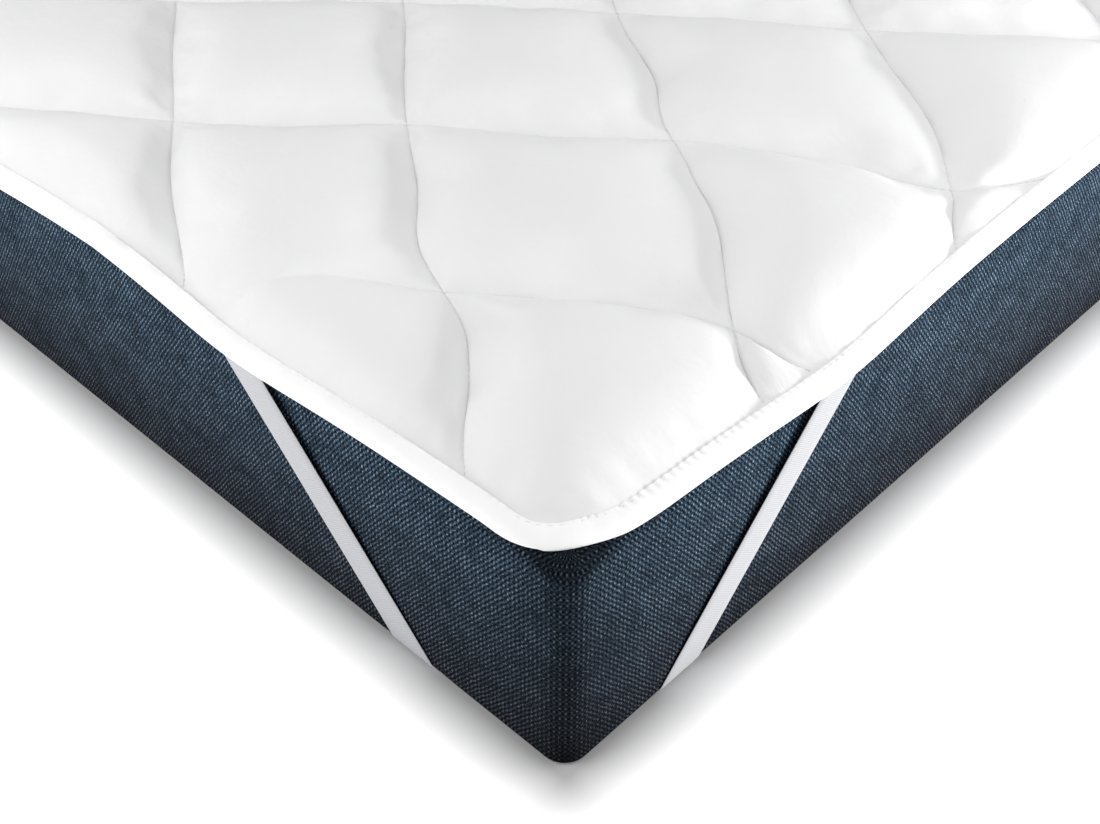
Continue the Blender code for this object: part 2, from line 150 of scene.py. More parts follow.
def colour(name, description, default):
    return FloatVectorProperty(name=name, description=description, default=default, subtype="COLOR", size=3)


def angle(name, description, degrees):
    return FloatProperty(name=name, description=description, default=math.radians(degrees), subtype="ANGLE")


def watts(name, description, default):
    return FloatProperty(name=name, description=description, default=default, unit="POWER")


class MattressSettings(bpy.types.PropertyGroup):
    corner_radius: length("Corner radius", "Rounding of the upright corners", 0.018)
    top_radius: length("Top radius", "Rounding of the top edge", 0.014)
    bottom_radius: length("Bottom radius", "Rounding of the bottom edge", 0.0028)
    cell: length("Cell", "Spacing of the cover's mesh", 0.009)
    thread_across: length("Rib pitch across", "Spacing of the twill along a side", 0.0036)
    thread_up: length("Rib pitch up", "Spacing of the twill up a side", 0.0047)
    thread_dark: colour("Dark thread", "Cloth between the ribs", (0.0013, 0.0028, 0.0047))
    thread_light: colour("Light thread", "Worn tops of the ribs", (0.064, 0.110, 0.166))
    thread_pale: colour("Pale flecks", "Undyed fibres that show here and there", (0.250, 0.330, 0.410))
    # Painted shade low on the sides: the foot tint darkens the cover towards the floor, fading out at the foot
    # height
    foot_painted_shade_tint: colour("Foot tint", "Share of the colour left low on the sides", (0.56, 0.40, 0.36))
    # Painted shade on the upright corners, and deeper painted shade under the tape there
    corner_painted_shade_tint: colour("Edge tint", "Share of the colour left on the upright corners", (0.27, 0.25, 0.245))
    foot_painted_shade_height: length("Foot height", "How high the foot tint fades out", 0.150)


class QuiltSettings(bpy.types.PropertyGroup):
    half_diamond_x: length("Half diamond across", "Half a diamond's size across the bed", 0.159)
    half_diamond_y: length("Half diamond along", "Half a diamond's size along the bed", 0.123)
    first_column: length("First column", "First column of crossings from the long side", 0.078)
    first_row: length("First row", "First row of crossings from the short side", 0.125)
    crest: length("Crest", "How far a panel rises over its seams", 0.0172)
    fullness: FloatProperty(name="Fullness", description="How steeply a panel rises from a seam", default=2.8)
    tuck: length("Tuck", "How far from a seam its stitches draw the cloth down tightly", 0.008)
    tuck_share: share("Tuck share", "How much of a panel's rise lies in the tuck", 0.27)
    seam_height: length("Seam height", "Height of the seams over the mattress", 0.0058)
    channel: length("Channel", "How deep the stitches sink into the cloth", 0.0006)
    gathering: length("Gathering", "Height of the ridges beside the edge tape", 0.0006)
    cells: IntProperty(name="Cells", description="Mesh cells along one side of a diamond", default=22)
    growth: share("Ease", "How much more cloth there is than the panels need", 0.012)
    swell: length("Swell", "How far the filling may push the cloth", 0.005)
    cotton: colour("Cotton", "Colour of the quilted cotton", (0.80, 0.80, 0.805))


class TapeSettings(bpy.types.PropertyGroup):
    width: length("Width", "Width of the tape on top", 0.0155)
    under_width: length("Width under", "Width of the tape underneath", 0.012)
    half_height: length("Half thickness", "Half the thickness of the folded edge", 0.0027)
    slope: angle("Slope", "How the tape slopes down to the edge", 14.0)
    puckering: length("Puckering", "How far the stitches gather the tape", 0.0012)
    cotton: colour("Cotton", "Colour of the tape", (0.92, 0.92, 0.92))


class StrapSettings(bpy.types.PropertyGroup):
    width: length("Width", "Width of the elastic", 0.030)
    thickness: length("Thickness", "Thickness of the elastic", 0.0012)
    rib: length("Rib pitch", "Spacing of the elastic's cross ribs", 0.0014)
    elastic: colour("Elastic", "Colour of the elastic", (0.505, 0.51, 0.53))


class StitchSettings(bpy.types.PropertyGroup):
    quilt_pitch: length("Quilt pitch", "Stitch pitch in the quilting", 0.0058)
    tape_pitch: length("Tape pitch", "Stitch pitch in the edge tape", 0.0066)
    thread: length("Thread", "Thickness of the sewing thread", 0.0009)
    cotton: colour("Cotton", "Colour of the sewing thread", (0.80, 0.80, 0.81))


class StudioSettings(bpy.types.PropertyGroup):
    lens: FloatProperty(name="Lens", description="Focal length in millimetres", default=50.547)
    top_watts: watts("Top light", "Power of the high softbox", 15.5)
    left_low_watts: watts("Left light", "Power of the low left softbox", 5.8)
    left_high_watts: watts("High left light", "Power of the high left softbox", 10.5)
    right_low_watts: watts("Right light", "Power of the low right softbox", 26.0)
    right_high_watts: watts("High right light", "Power of the near right softbox", 3.4)
    surround: FloatProperty(name="Surround", description="Brightness of the white studio", default=0.445)
    floor: colour("Floor", "Colour of the floor", (0.49, 0.49, 0.495))
    floor_glow: FloatProperty(name="Floor glow", description="Light the pale floor passes on", default=0.80)


# -------------------------------------------------------------------------------- shared helpers

def lerp(a, b, t):
    return a + (b - a) * t


def smoothstep(t):
    t = min(max(t, 0.0), 1.0)
    return t * t * (3.0 - 2.0 * t)


# Layers of noise are this far apart, so that no two seeds look alike
SEED_STEP = 17.31

# Unevenness of one size: how high its lumps are, how broad, and the seed that lays them out
Lumps = namedtuple("Lumps", "height size seed")


def uneven(x, y, size, seed):
    """Smooth unevenness from about -1 to 1, whose lumps are about size across."""
    return noise.noise(Vector((x / size, y / size, seed * SEED_STEP)))


def lumpy(level, lumps_of_sizes, x, y):
    """A level made uneven by lumps of one or more sizes."""
    for lumps in lumps_of_sizes:
        level += lumps.height * uneven(x, y, lumps.size, lumps.seed)
    return level


def from_sides(x, y):
    """How far a plan point is from the long side and from the short side that meet at the nearest corner."""
    return BED_WIDTH / 2 - x, y + BED_LENGTH / 2


def nearness(place, from_long, from_short, falloff=2):
    """1 at a place beside the nearest corner, and falling to 0 round it past its reach."""
    away = math.hypot(from_long - place.from_long_side, from_short - place.from_short_side)
    return math.exp(-((away / place.reach) ** falloff))


def new_mesh(name, points, faces, edges=()):
    mesh = bpy.data.meshes.new(name)
    mesh.from_pydata([tuple(p) for p in points], edges, faces)
    mesh.update()
    return mesh


def new_object(name, mesh):
    item = bpy.data.objects.new(name, mesh)
    bpy.context.scene.collection.objects.link(item)
    return item


def set_uv(mesh, uv_of_vertex, name="cloth"):
    layer = mesh.uv_layers.new(name=name)
    for loop in mesh.loops:
        layer.data[loop.index].uv = uv_of_vertex[loop.vertex_index]


def set_point_values(mesh, name, values):
    attribute = mesh.attributes.new(name, "FLOAT", "POINT")
    attribute.data.foreach_set("value", values)


def finish_cloth(mesh, sharp_from=None):
    """Turns a mesh's faces outwards and shades it smooth, but for edges sharper than an angle."""
    work = bmesh.new()
    work.from_mesh(mesh)
    bmesh.ops.recalc_face_normals(work, faces=work.faces)
    work.to_mesh(mesh)
    work.free()
    mesh.shade_smooth()
    if sharp_from:
        mesh.set_sharp_from_angle(angle=sharp_from)


def evaluated_mesh(item):
    """A plain mesh of what an object's modifiers make of it. The object itself is removed."""
    mesh = bpy.data.meshes.new_from_object(item.evaluated_get(bpy.context.evaluated_depsgraph_get()))
    bpy.data.objects.remove(item)
    return mesh


def skin(rings, closed_path, capped):
    """Points and faces of equal rings skinned in order. A closed path joins its last ring to its first."""
    count = len(rings[0])
    points = [p for ring in rings for p in ring]
    faces = []
    spans = len(rings) if closed_path else len(rings) - 1
    for r in range(spans):
        here, there = r * count, (r + 1) % len(rings) * count
        for k in range(count):
            after = (k + 1) % count
            faces.append((here + k, here + after, there + after, there + k))
    if capped:
        faces.append(tuple(range(count)))
        faces.append(tuple(range((len(rings) - 1) * count, len(rings) * count))[::-1])
    return points, faces


def side_pieces(half_x, half_y, radius, spacing):
    """Into how many pieces of about the spacing the straight stretches divide, along X and along Y."""
    return tuple(max(1, round(2 * (half - radius) / spacing)) for half in (half_x, half_y))


def rounded_rectangle(half_x, half_y, radius, steps, pieces=(1, 1)):
    """Stations round a rounded rectangle, each a plan point and its outward direction."""
    stations = []
    for turn, (sign_x, sign_y) in enumerate(((1, 1), (-1, 1), (-1, -1), (1, -1))):
        centre = Vector((sign_x * (half_x - radius), sign_y * (half_y - radius)))
        for k in range(steps + 1):
            turned = math.pi / 2 * (turn + k / steps)
            outward = Vector((math.cos(turned), math.sin(turned)))
            stations.append((centre + outward * radius, outward))
        along = Vector((-outward.y, outward.x))
        run = 2 * ((half_y if turn % 2 else half_x) - radius)
        start, parts = stations[-1][0], pieces[turn % 2]
        stations += [(start + along * (run * k / parts), outward) for k in range(1, parts)]
    return stations


class Nodes:
    """Short ways to add nodes to one tree and join them."""

    def __init__(self, tree):
        self.tree = tree

    def add(self, kind, **settings):
        node = self.tree.nodes.new(kind)
        for name, value in settings.items():
            setattr(node, name, value)
        return node

    def join(self, source, target):
        self.tree.links.new(source, target)

    def feed(self, socket, value):
        if isinstance(value, bpy.types.NodeSocket):
            self.join(value, socket)
        else:
            socket.default_value = value

    def math(self, operation, *values):
        node = self.add("ShaderNodeMath", operation=operation)
        for socket, value in zip(node.inputs, values):
            self.feed(socket, value)
        return node.outputs[0]

    def wave(self, phase):
        """A cosine of so many whole turns."""
        return self.math("COSINE", self.math("MULTIPLY", phase, 2 * math.pi))

    def noise(self, vector, scale, detail=2.0, roughness=0.5):
        node = self.add("ShaderNodeTexNoise")
        self.feed(node.inputs["Vector"], vector)
        self.feed(node.inputs["Scale"], scale)
        self.feed(node.inputs["Detail"], detail)
        self.feed(node.inputs["Roughness"], roughness)
        return node.outputs[0]

    def mix_colour(self, share_b, a, b, blend="MIX"):
        node = self.add("ShaderNodeMix", data_type="RGBA", blend_type=blend)
        self.feed(node.inputs["Factor"], share_b)
        self.feed(node.inputs["A"], a)
        self.feed(node.inputs["B"], b)
        return node.outputs["Result"]

    def spread(self, value, low, high, to_low=0.0, to_high=1.0):
        """Spreads a stretch of values over another one, and stops at its ends."""
        node = self.add("ShaderNodeMapRange")
        limits = {"Value": value, "From Min": low, "From Max": high, "To Min": to_low, "To Max": to_high}
        for name, given in limits.items():
            self.feed(node.inputs[name], given)
        return node.outputs["Result"]


def dress(item, replaced):
    """The piece rides on the topper's one body and stands for the CAD nodes it replaces, which are hidden."""
    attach(item, "root")
    if replaced:
        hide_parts(*replaced)


# -------------------------------------------------------------------------------- straps' pull

# How the straps pull on the topper's edge where they meet it: how far out and down, how much steeper its tape gets,
# how far along the edge the pull spreads, and how far in it reaches
PULL_OUT = 0.0085
PULL_DOWN = 0.0050
PULL_STEEPEN = math.radians(8.0)
PULL_SPREAD = 0.105
PULL_REACH_INWARD = 0.070


def strap_pull(x, y):
    """How strongly the straps pull on the topper's edge at a plan point, from 0 to about 1."""
    half_x, half_y = BED_WIDTH / 2, BED_LENGTH / 2
    pull = 0.0
    for sign_x, sign_y in CORNERS.values():
        ends = (
            (sign_x * (half_x - SHORT_SIDE_RUN.top), sign_y * half_y),
            (sign_x * half_x, sign_y * (half_y - LONG_SIDE_RUN.top)),
        )
        for end_x, end_y in ends:
            distance = math.hypot(x - end_x, y - end_y)
            pull = max(pull, 1.0 / (1.0 + (distance / PULL_SPREAD) ** 2))
    return pull


# -------------------------------------------------------------------------------- topper's rim

# The topper's outline: how far it stands out past the mattress, and how round its corners are
TOPPER_OVERHANG = 0.001
TOPPER_CORNER_RADIUS = 0.056

# How high the tip of the tape lies over the mattress, and how the tape lifts and flattens at the corners
TAPE_TIP_RISE = 0.0013
CORNER_LIFT = 0.0023
CORNER_LIFT_REACH = 0.080
CORNER_FLATTEN = math.radians(8.0)

# How the rim of the pad lies in the fold of the tape, and where its underside comes to rest
RIM_HALF_THICKNESS = 0.0011
RIM_UNDER_TAPE = 0.0010
RIM_BELOW_TAPE_TOP = 0.0008
RIM_INSIDE_TAPE = 0.004
UNDERSIDE_INSET = 0.010
UNDERSIDE_LIFT = 0.0003

# Stations round each corner of the rim, and their spacing along its sides
RIM_STEPS = 28
RIM_SPACING = 0.0015


def stitch_strain(x, y):
    """How tightly the tape's stitches are drawn at a plan point, from 0 to 1."""
    return nearness(STITCH_STRAIN, *from_sides(x, y), falloff=4)


def past_join(x, y):
    """0 before the tape's join at the nearest corner, and past it falling from 1 to 0 along the long side."""
    from_long, from_short = from_sides(x, y)
    started = smoothstep((TAPE_JOIN.from_long_side - from_long) / TAPE_JOIN.overlap)
    return started * (1.0 - smoothstep((from_short - TAPE_JOIN.flatten_start) / TAPE_JOIN.flatten_run))


def bulge(x, y):
    """How far the tape stands out past a true rounded corner."""
    return sum(place.out * nearness(place, *from_sides(x, y)) for place in TAPE_BULGES)


class RimStation:
    """One place round the topper's edge: where its tape's tip is, and how the tape slopes up from there."""

    def __init__(self, point, outward, tape):
        self.stitch_plan = point
        tip_plan = point + outward * (tape.width * math.cos(tape.slope))
        pull = strap_pull(tip_plan.x, tip_plan.y)
        from_corner = math.hypot(BED_WIDTH / 2 - abs(tip_plan.x), BED_LENGTH / 2 - abs(tip_plan.y))
        cornered = math.exp(-((from_corner / CORNER_LIFT_REACH) ** 2))
        self.outward = outward
        self.tip_plan = tip_plan + outward * (PULL_OUT * pull + bulge(tip_plan.x, tip_plan.y))
        self.tip_height = BED_HEIGHT + TAPE_TIP_RISE - PULL_DOWN * pull + CORNER_LIFT * cornered
        self.slope = tape.slope + PULL_STEEPEN * pull - CORNER_FLATTEN * cornered

    def at(self, inward, above):
        """A point so far in from the tip along the tape's slope, and so far above the tape's middle."""
        reach = -inward * math.cos(self.slope) + above * math.sin(self.slope)
        rise = inward * math.sin(self.slope) + above * math.cos(self.slope)
        plan = self.tip_plan + self.outward * reach
        return Vector((plan.x, plan.y, self.tip_height + rise))


class Rim:
    """The topper's edge all round, as close stations, and the line that sews its tape on."""

    def __init__(self, tape):
        run = tape.width * math.cos(tape.slope)
        inset = run - TOPPER_OVERHANG
        self.half_x = BED_WIDTH / 2 - inset
        self.half_y = BED_LENGTH / 2 - inset
        self.radius = TOPPER_CORNER_RADIUS - run
        self.tape = tape
        pieces = side_pieces(self.half_x, self.half_y, self.radius, RIM_SPACING)
        outline = rounded_rectangle(self.half_x, self.half_y, self.radius, RIM_STEPS, pieces)
        self.stations = [RimStation(point, outward, tape) for point, outward in outline]
        self.plans = np.array([tuple(s.stitch_plan) for s in self.stations])
        self.chords = np.roll(self.plans, -1, axis=0) - self.plans

    def distance(self, x, y):
        """How far inside the stitch line a plan point is."""
        over_x, over_y = abs(x) - (self.half_x - self.radius), abs(y) - (self.half_y - self.radius)
        if over_x > 0 and over_y > 0:
            return self.radius - math.hypot(over_x, over_y)
        return min(self.half_x - abs(x), self.half_y - abs(y))

    def nearest(self, plan):
        """The stretch of rim nearest to a plan point: its two stations, and how far along it the point is."""
        away = np.array(tuple(plan)) - self.plans
        along = np.clip((away * self.chords).sum(1) / (self.chords ** 2).sum(1), 0.0, 1.0)
        distance = np.linalg.norm(away - self.chords * along[:, None], axis=1)
        k = int(distance.argmin())
        return self.stations[k], self.stations[(k + 1) % len(self.stations)], float(along[k])

    def around(self, places, inward, above):
        return [lerp(a.at(inward, above), b.at(inward, above), t) for a, b, t in places]

    def tucked(self, places):
        """Where the quilted cloth runs in under the tape's inner edge."""
        inward, above = self.tape.width - RIM_UNDER_TAPE, self.tape.half_height - RIM_BELOW_TAPE_TOP
        return self.around(places, inward, above)


# -------------------------------------------------------------------------------- quilted pad

# How far in from the rim the pad stops rising, and how far in its channels have their whole depth
RIM_PUFF_REACH = 0.060
CHANNEL_START = 0.012

# The pad's mesh: how strongly its lines crowd towards the seams, how near points are before they are merged, and
# how near a point is to a seam before it counts as on it
SEAM_CLOSENESS = 0.65
MERGE_DISTANCE = 0.0022
ON_SEAM = 0.0005

# Ridges beside the tape: their pitch and reach, where they start, how strong they are, how much stronger where the
# stitches are drawn tight, how far they slant as they run inwards, and how unevenly they are strong and spaced
GATHER_PITCH = 0.024
GATHER_REACH = 0.020
GATHER_START = 0.006
GATHER_STRENGTH = 0.45
GATHER_STRAIN = 0.9
GATHER_SLANT = 0.35
GATHER_STRENGTH_LUMPS = (Lumps(0.5, 0.130, 5),)
GATHER_PITCH_LUMPS = (Lumps(0.7, 0.060, 6),)

# How the cloth settles over its filling
SETTLE_FRAMES = 18
TINY = 1e-9
CLOTH_STIFFNESS = 15.0
CLOTH_SETTINGS = {
    "quality": 5,
    "mass": 0.3,
    "tension_stiffness": CLOTH_STIFFNESS,
    "compression_stiffness": CLOTH_STIFFNESS,
    "shear_stiffness": CLOTH_STIFFNESS / 3,
    "bending_stiffness": 0.6,
    "air_damping": 4.0,
    "use_pressure": True,
    "uniform_pressure_force": 4.0,
    "pin_stiffness": 1.0,
}


class QuiltPlan:
    """The diamonds of the quilting, even as they are drawn and drifted as they lie."""

    def __init__(self, quilt, rim):
        self.quilt = quilt
        self.rim = rim
        half_x, half_y = quilt.half_diamond_x, quilt.half_diamond_y
        self.seam_spacing = 2 * half_x * half_y / math.hypot(half_x, half_y)

    def seam_coordinates(self, x, y):
        """Place a plan point between the two sets of seams: whole numbers lie on a seam."""
        column = (BED_WIDTH / 2 - self.quilt.first_column - x) / self.quilt.half_diamond_x
        row = (y + BED_LENGTH / 2 - self.quilt.first_row) / self.quilt.half_diamond_y
        return (column + row - 1) / 2, (column - row - 1) / 2

    def from_seams(self, across, along):
        """The even place in plan between the two sets of seams, the other way round."""
        column, row = across + along + 1, across - along
        return Vector((
            BED_WIDTH / 2 - self.quilt.first_column - self.quilt.half_diamond_x * column,
            -BED_LENGTH / 2 + self.quilt.first_row + self.quilt.half_diamond_y * row,
        ))

    def seam_fade(self, x, y):
        """How far the seam that fades is filled out at a plan point, from 0 to its share."""
        return SEAM_FADE.share * nearness(SEAM_FADE, *from_sides(x, y))

    def seams_at(self, x, y):
        """The seam of each set that a plan point lies on, or None. A faded seam isn't counted."""
        across, along = self.seam_coordinates(x, y)
        on_across = abs(across - round(across)) * self.seam_spacing < ON_SEAM
        if round(across) < FIRST_SEAM_ACROSS or self.seam_fade(x, y) > FADED_OUT:
            on_across = False
        on_along = abs(along - round(along)) * self.seam_spacing < ON_SEAM
        return round(across) if on_across else None, round(along) if on_along else None

    def seam_fullness(self, x, y):
        """Fullness of the filling between the seams round a point of the even plan."""
        across, along = self.seam_coordinates(x, y)
        from_across = abs(across - max(round(across), FIRST_SEAM_ACROSS)) * self.seam_spacing
        from_along = abs(along - round(along)) * self.seam_spacing
        between_across = lerp(self.puff(from_across, self.seam_spacing / 2), 1.0, self.seam_fade(x, y))
        return between_across * self.puff(from_along, self.seam_spacing / 2)

    def drifted(self, x, y):
        """Where a point of the even plan really lies. Close to a side it has only slid along that side."""
        from_long, from_short = from_sides(x, y)
        off_long = off_short = 0.0
        for drift in QUILT_DRIFTS:
            weight = nearness(drift, from_long, from_short)
            off_long += weight * drift.off_long_side
            off_short += weight * drift.off_short_side
        off_long *= min(max(from_long / DRIFT_FREE_FROM_SIDE, 0.0), 1.0)
        off_short *= min(max(from_short / DRIFT_FREE_FROM_SIDE, 0.0), 1.0)
        return Vector((x - off_long, y + off_short))

    def puff(self, distance, reach):
        """Fullness of the filling at a distance from a seam: 0 on the seam and 1 in mid panel."""
        near = min(max(distance / reach, 0.0), 1.0)
        tight = 1.0 - math.exp(-max(distance, 0.0) / self.quilt.tuck)
        return lerp(1.0 - (1.0 - near) ** self.quilt.fullness, tight, self.quilt.tuck_share)

    def point(self, x, y):
        """The top of the quilting over one point of the even plan."""
        rim_distance = self.rim.distance(x, y)
        from_rim = min(max(rim_distance / RIM_PUFF_REACH, 0.0), 1.0)
        fullness = (1.0 - (1.0 - from_rim) ** self.quilt.fullness) * self.seam_fullness(x, y)
        plan = self.drifted(x, y)
        pull = strap_pull(plan.x, plan.y) * (1.0 - min(rim_distance / PULL_REACH_INWARD, 1.0)) ** 2
        towards_edge = Vector((math.copysign(1.0, x), 0.0))
        if BED_LENGTH / 2 - abs(y) < BED_WIDTH / 2 - abs(x):
            towards_edge = Vector((0.0, math.copysign(1.0, y)))
        plan += towards_edge * (PULL_OUT * pull)
        height = BED_HEIGHT + self.quilt.seam_height - PULL_DOWN * pull / 2 + self.quilt.crest * fullness
        return Vector((plan.x, plan.y, height))


def flat_diamond_grid(plan, cells):
    """A flat grid whose lines follow the seams, closer near each seam, trimmed to the stitch line."""
    quilt, rim = plan.quilt, plan.rim
    turn = 2 * math.pi
    steps = [k / cells - SEAM_CLOSENESS * math.sin(turn * k / cells) / turn for k in range(cells)]
    reach = math.ceil((BED_WIDTH / quilt.half_diamond_x + BED_LENGTH / quilt.half_diamond_y) / 2) + 1
    lines = [panel + step for panel in range(-reach, reach + 1) for step in steps]
    work = bmesh.new()
    verts = {}

    def vertex(a, b):
        if (a, b) not in verts:
            place = plan.from_seams(lines[a], lines[b])
            verts[a, b] = work.verts.new((place.x, place.y, 0.0))
        return verts[a, b]

    # Cells are kept a little past the rim, which then cuts through them
    past = 4.0 * max(quilt.half_diamond_x, quilt.half_diamond_y) / cells
    for a in range(len(lines) - 1):
        for b in range(len(lines) - 1):
            middle = plan.from_seams((lines[a] + lines[a + 1]) / 2, (lines[b] + lines[b + 1]) / 2)
            if abs(middle.x) < rim.half_x + past and abs(middle.y) < rim.half_y + past:
                work.faces.new((vertex(a, b), vertex(a + 1, b), vertex(a + 1, b + 1), vertex(a, b + 1)))

    corners = rounded_rectangle(rim.half_x, rim.half_y, rim.radius, RIM_STEPS // 2)
    for (start, _), (end, _) in zip(corners, corners[1:] + corners[:1]):
        bmesh.ops.bisect_plane(
            work,
            geom=work.verts[:] + work.edges[:] + work.faces[:],
            plane_co=(start.x, start.y, 0.0),
            plane_no=(end.y - start.y, start.x - end.x, 0.0),
            clear_outer=True,
        )
    bmesh.ops.remove_doubles(work, verts=work.verts[:], dist=MERGE_DISTANCE)
    return work


def lay_flat(faces, uv):
    """Gives faces the cloth coordinates that they have in plan."""
    for face in faces:
        for loop in face.loops:
            loop[uv].uv = loop.vert.co.xy


def boundary_loop(work):
    """The vertices round an open mesh, in order."""
    start = next(edge for edge in work.edges if edge.is_boundary)
    loop = list(start.verts)
    while True:
        here, before = loop[-1], loop[-2]
        edges = [edge for edge in here.link_edges if edge.is_boundary and before not in edge.verts]
        after = edges[0].other_vert(here)
        if after == loop[0]:
            return loop
        loop.append(after)


def shared_seam(first, second):
    """Whether two points, each given by the seams that it lies on, lie on one seam."""
    return any(a is not None and a == b for a, b in zip(first, second))


def settle_cloth(item, sewn, growth, swell):
    """Let the filling push the cloth out between its stitches, and keep the result within the swell."""
    start = np.array([v.co[:] for v in item.data.vertices])
    group = item.vertex_groups.new(name="sewn")
    group.add([int(k) for k in sewn], 1.0, "REPLACE")
    cloth = item.modifiers.new("filling", "CLOTH")
    for name, value in CLOTH_SETTINGS.items():
        setattr(cloth.settings, name, value)
    cloth.settings.effector_weights.gravity = 0.0
    cloth.settings.vertex_group_mass = group.name
    cloth.settings.shrink_min = cloth.settings.shrink_max = -growth
    cloth.point_cache.frame_start, cloth.point_cache.frame_end = 1, SETTLE_FRAMES
    scene = bpy.context.scene
    for step in range(1, SETTLE_FRAMES + 1):
        scene.frame_set(step)
    settled = item.evaluated_get(bpy.context.evaluated_depsgraph_get()).data
    end = np.array([v.co[:] for v in settled.vertices])
    item.modifiers.remove(cloth)
    scene.frame_set(1)
    item.vertex_groups.remove(group)
    move = end - start
    distance = np.linalg.norm(move, axis=1)
    kept = swell * np.tanh(distance / swell) / np.maximum(distance, TINY)
    for vert, point in zip(item.data.vertices, start + move * kept[:, None]):
        vert.co = point


def gathers(rim, x, y):
    """Soft ridges that the tape's stitches gather in the cloth beside them, fading inwards, from -1 to 1."""
    from_rim = max(rim.distance(x, y), 0.0)
    if from_rim > 3 * GATHER_REACH:
        return 0.0
    along = x if rim.half_y - abs(y) < rim.half_x - abs(x) else y
    strength = lumpy(GATHER_STRENGTH + GATHER_STRAIN * stitch_strain(x, y), GATHER_STRENGTH_LUMPS, x, y)
    turns = lumpy(along / GATHER_PITCH, GATHER_PITCH_LUMPS, x, y) + GATHER_SLANT * from_rim / GATHER_PITCH
    near = smoothstep(from_rim / GATHER_START) * math.exp(-((from_rim / GATHER_REACH) ** 2))
    return max(strength, 0.0) * near * math.sin(2 * math.pi * turns)


def quilt_top(plan):
    """The pad's upper cloth: puffed, settled, and smoothed once with its seams kept sharp."""
    work = flat_diamond_grid(plan, plan.quilt.cells)
    rim_loop = boundary_loop(work)
    places = [plan.rim.nearest(plan.drifted(vert.co.x, vert.co.y)) for vert in rim_loop]
    on_rim = dict(zip(rim_loop, plan.rim.tucked(places)))
    uv = work.loops.layers.uv.new("cloth")
    crease = work.edges.layers.float.new("crease_edge")
    lay_flat(work.faces, uv)
    seams = {vert: plan.seams_at(vert.co.x, vert.co.y) for vert in work.verts}
    for edge in work.edges:
        if shared_seam(seams[edge.verts[0]], seams[edge.verts[1]]):
            edge[crease] = 1.0
    work.verts.index_update()
    sewn = [v.index for v in work.verts if v in on_rim or any(s is not None for s in seams[v])]
    for vert in work.verts:
        vert.co = on_rim[vert] if vert in on_rim else plan.point(vert.co.x, vert.co.y)
    mesh = bpy.data.meshes.new("quilt_top")
    work.normal_update()
    if sum(face.normal.z for face in work.faces) < 0:
        bmesh.ops.reverse_faces(work, faces=work.faces[:])
    work.to_mesh(mesh)
    work.free()
    item = new_object("quilt_top", mesh)
    settle_cloth(item, sewn, plan.quilt.growth, plan.quilt.swell)
    smooth = item.modifiers.new("smooth", "SUBSURF")
    smooth.levels = smooth.render_levels = 1
    smooth.uv_smooth = "NONE"
    return evaluated_mesh(item)


def build_quilt(quilt, tape):
    """The closed pad, and the seam lines on it as chains of points."""
    rim = Rim(tape)
    plan = QuiltPlan(quilt, rim)
    work = bmesh.new()
    work.from_mesh(quilt_top(plan))
    uv = work.loops.layers.uv.active
    drawn = {vert: Vector(vert.link_loops[0][uv].uv) for vert in work.verts}
    rim_loop = boundary_loop(work)
    places = [rim.nearest(plan.drifted(*drawn[vert])) for vert in rim_loop]
    for vert, point in zip(rim_loop, rim.tucked(places)):
        vert.co = point

    seams = {vert: plan.seams_at(*drawn[vert]) for vert in work.verts}
    rim_set = set(rim_loop)
    for vert in work.verts:
        if vert not in rim_set and any(s is not None for s in seams[vert]):
            vert.co.z -= quilt.channel * smoothstep(rim.distance(*drawn[vert]) / CHANNEL_START)
    for vert in work.verts:
        if vert not in rim_set:
            vert.co.z += quilt.gathering * gathers(rim, vert.co.x, vert.co.y)
    seam_edges = [e for e in work.edges if shared_seam(seams[e.verts[0]], seams[e.verts[1]])]
    for edge in work.edges:
        edge.smooth = True
    for edge in seam_edges:
        edge.smooth = False
    chains = [tuple(v.co.copy() for v in e.verts) for e in seam_edges]

    inset = [tuple(s.stitch_plan - s.outward * UNDERSIDE_INSET for s in pair) for *pair, _ in places]
    resting = [lerp(*pair, t) for pair, (*_, t) in zip(inset, places)]
    rings = (
        rim.around(places, RIM_INSIDE_TAPE, RIM_HALF_THICKNESS),
        rim.around(places, RIM_INSIDE_TAPE, -RIM_HALF_THICKNESS),
        rim.around(places, tape.width, -RIM_HALF_THICKNESS),
        [(p.x, p.y, BED_HEIGHT + UNDERSIDE_LIFT) for p in resting],
    )
    above, underside = rim_loop, []
    for points in rings:
        below = [work.verts.new(point) for point in points]
        for k in range(len(rim_loop)):
            after = (k + 1) % len(rim_loop)
            underside.append(work.faces.new((above[k], above[after], below[after], below[k])))
        above = below
    underside.append(work.faces.new(above))
    lay_flat(underside, uv)
    bmesh.ops.recalc_face_normals(work, faces=work.faces)
    mesh = bpy.data.meshes.new("quilted_topper")
    for face in work.faces:
        face.smooth = True
    work.to_mesh(mesh)
    work.free()
    return new_object("quilted_topper", mesh), chains


# -------------------------------------------------------------------------------- edge tape

TAPE_WALL = 0.0007
TAPE_SHARP_FROM = math.radians(70.0)

# Where the tape's top is shaped, as shares of its width from the stitches outwards, and the share where it ends
TAPE_STATIONS = (0.0, 0.07, 0.14, 0.24, 0.38, 0.55, 0.72)
TAPE_ARCH_END = 0.95

# The arch of the tape's top, its lumps, and the small ones that the stitches' strain brings out
TAPE_ARCH = 0.0013
TAPE_ARCH_LUMPS = (Lumps(0.0009, 0.045, 4), Lumps(0.0008, 0.018, 7))
TAPE_WRINKLES = Lumps(0.0007, 0.010, 9)

# Puckers: each stitch lets the cloth swell between its ends and sinks it at them
LEAST_STRAIN = 0.35
PUCKER_ROUNDNESS = 0.8
PUCKER_SWELL = 1.1
PUCKER_SINK = 0.45
PUCKER_LUMPS = (Lumps(0.35, 0.011, 1), Lumps(0.45, 0.027, 2))
PUCKER_FADE = 0.16
EDGE_SCALLOP = 0.0004

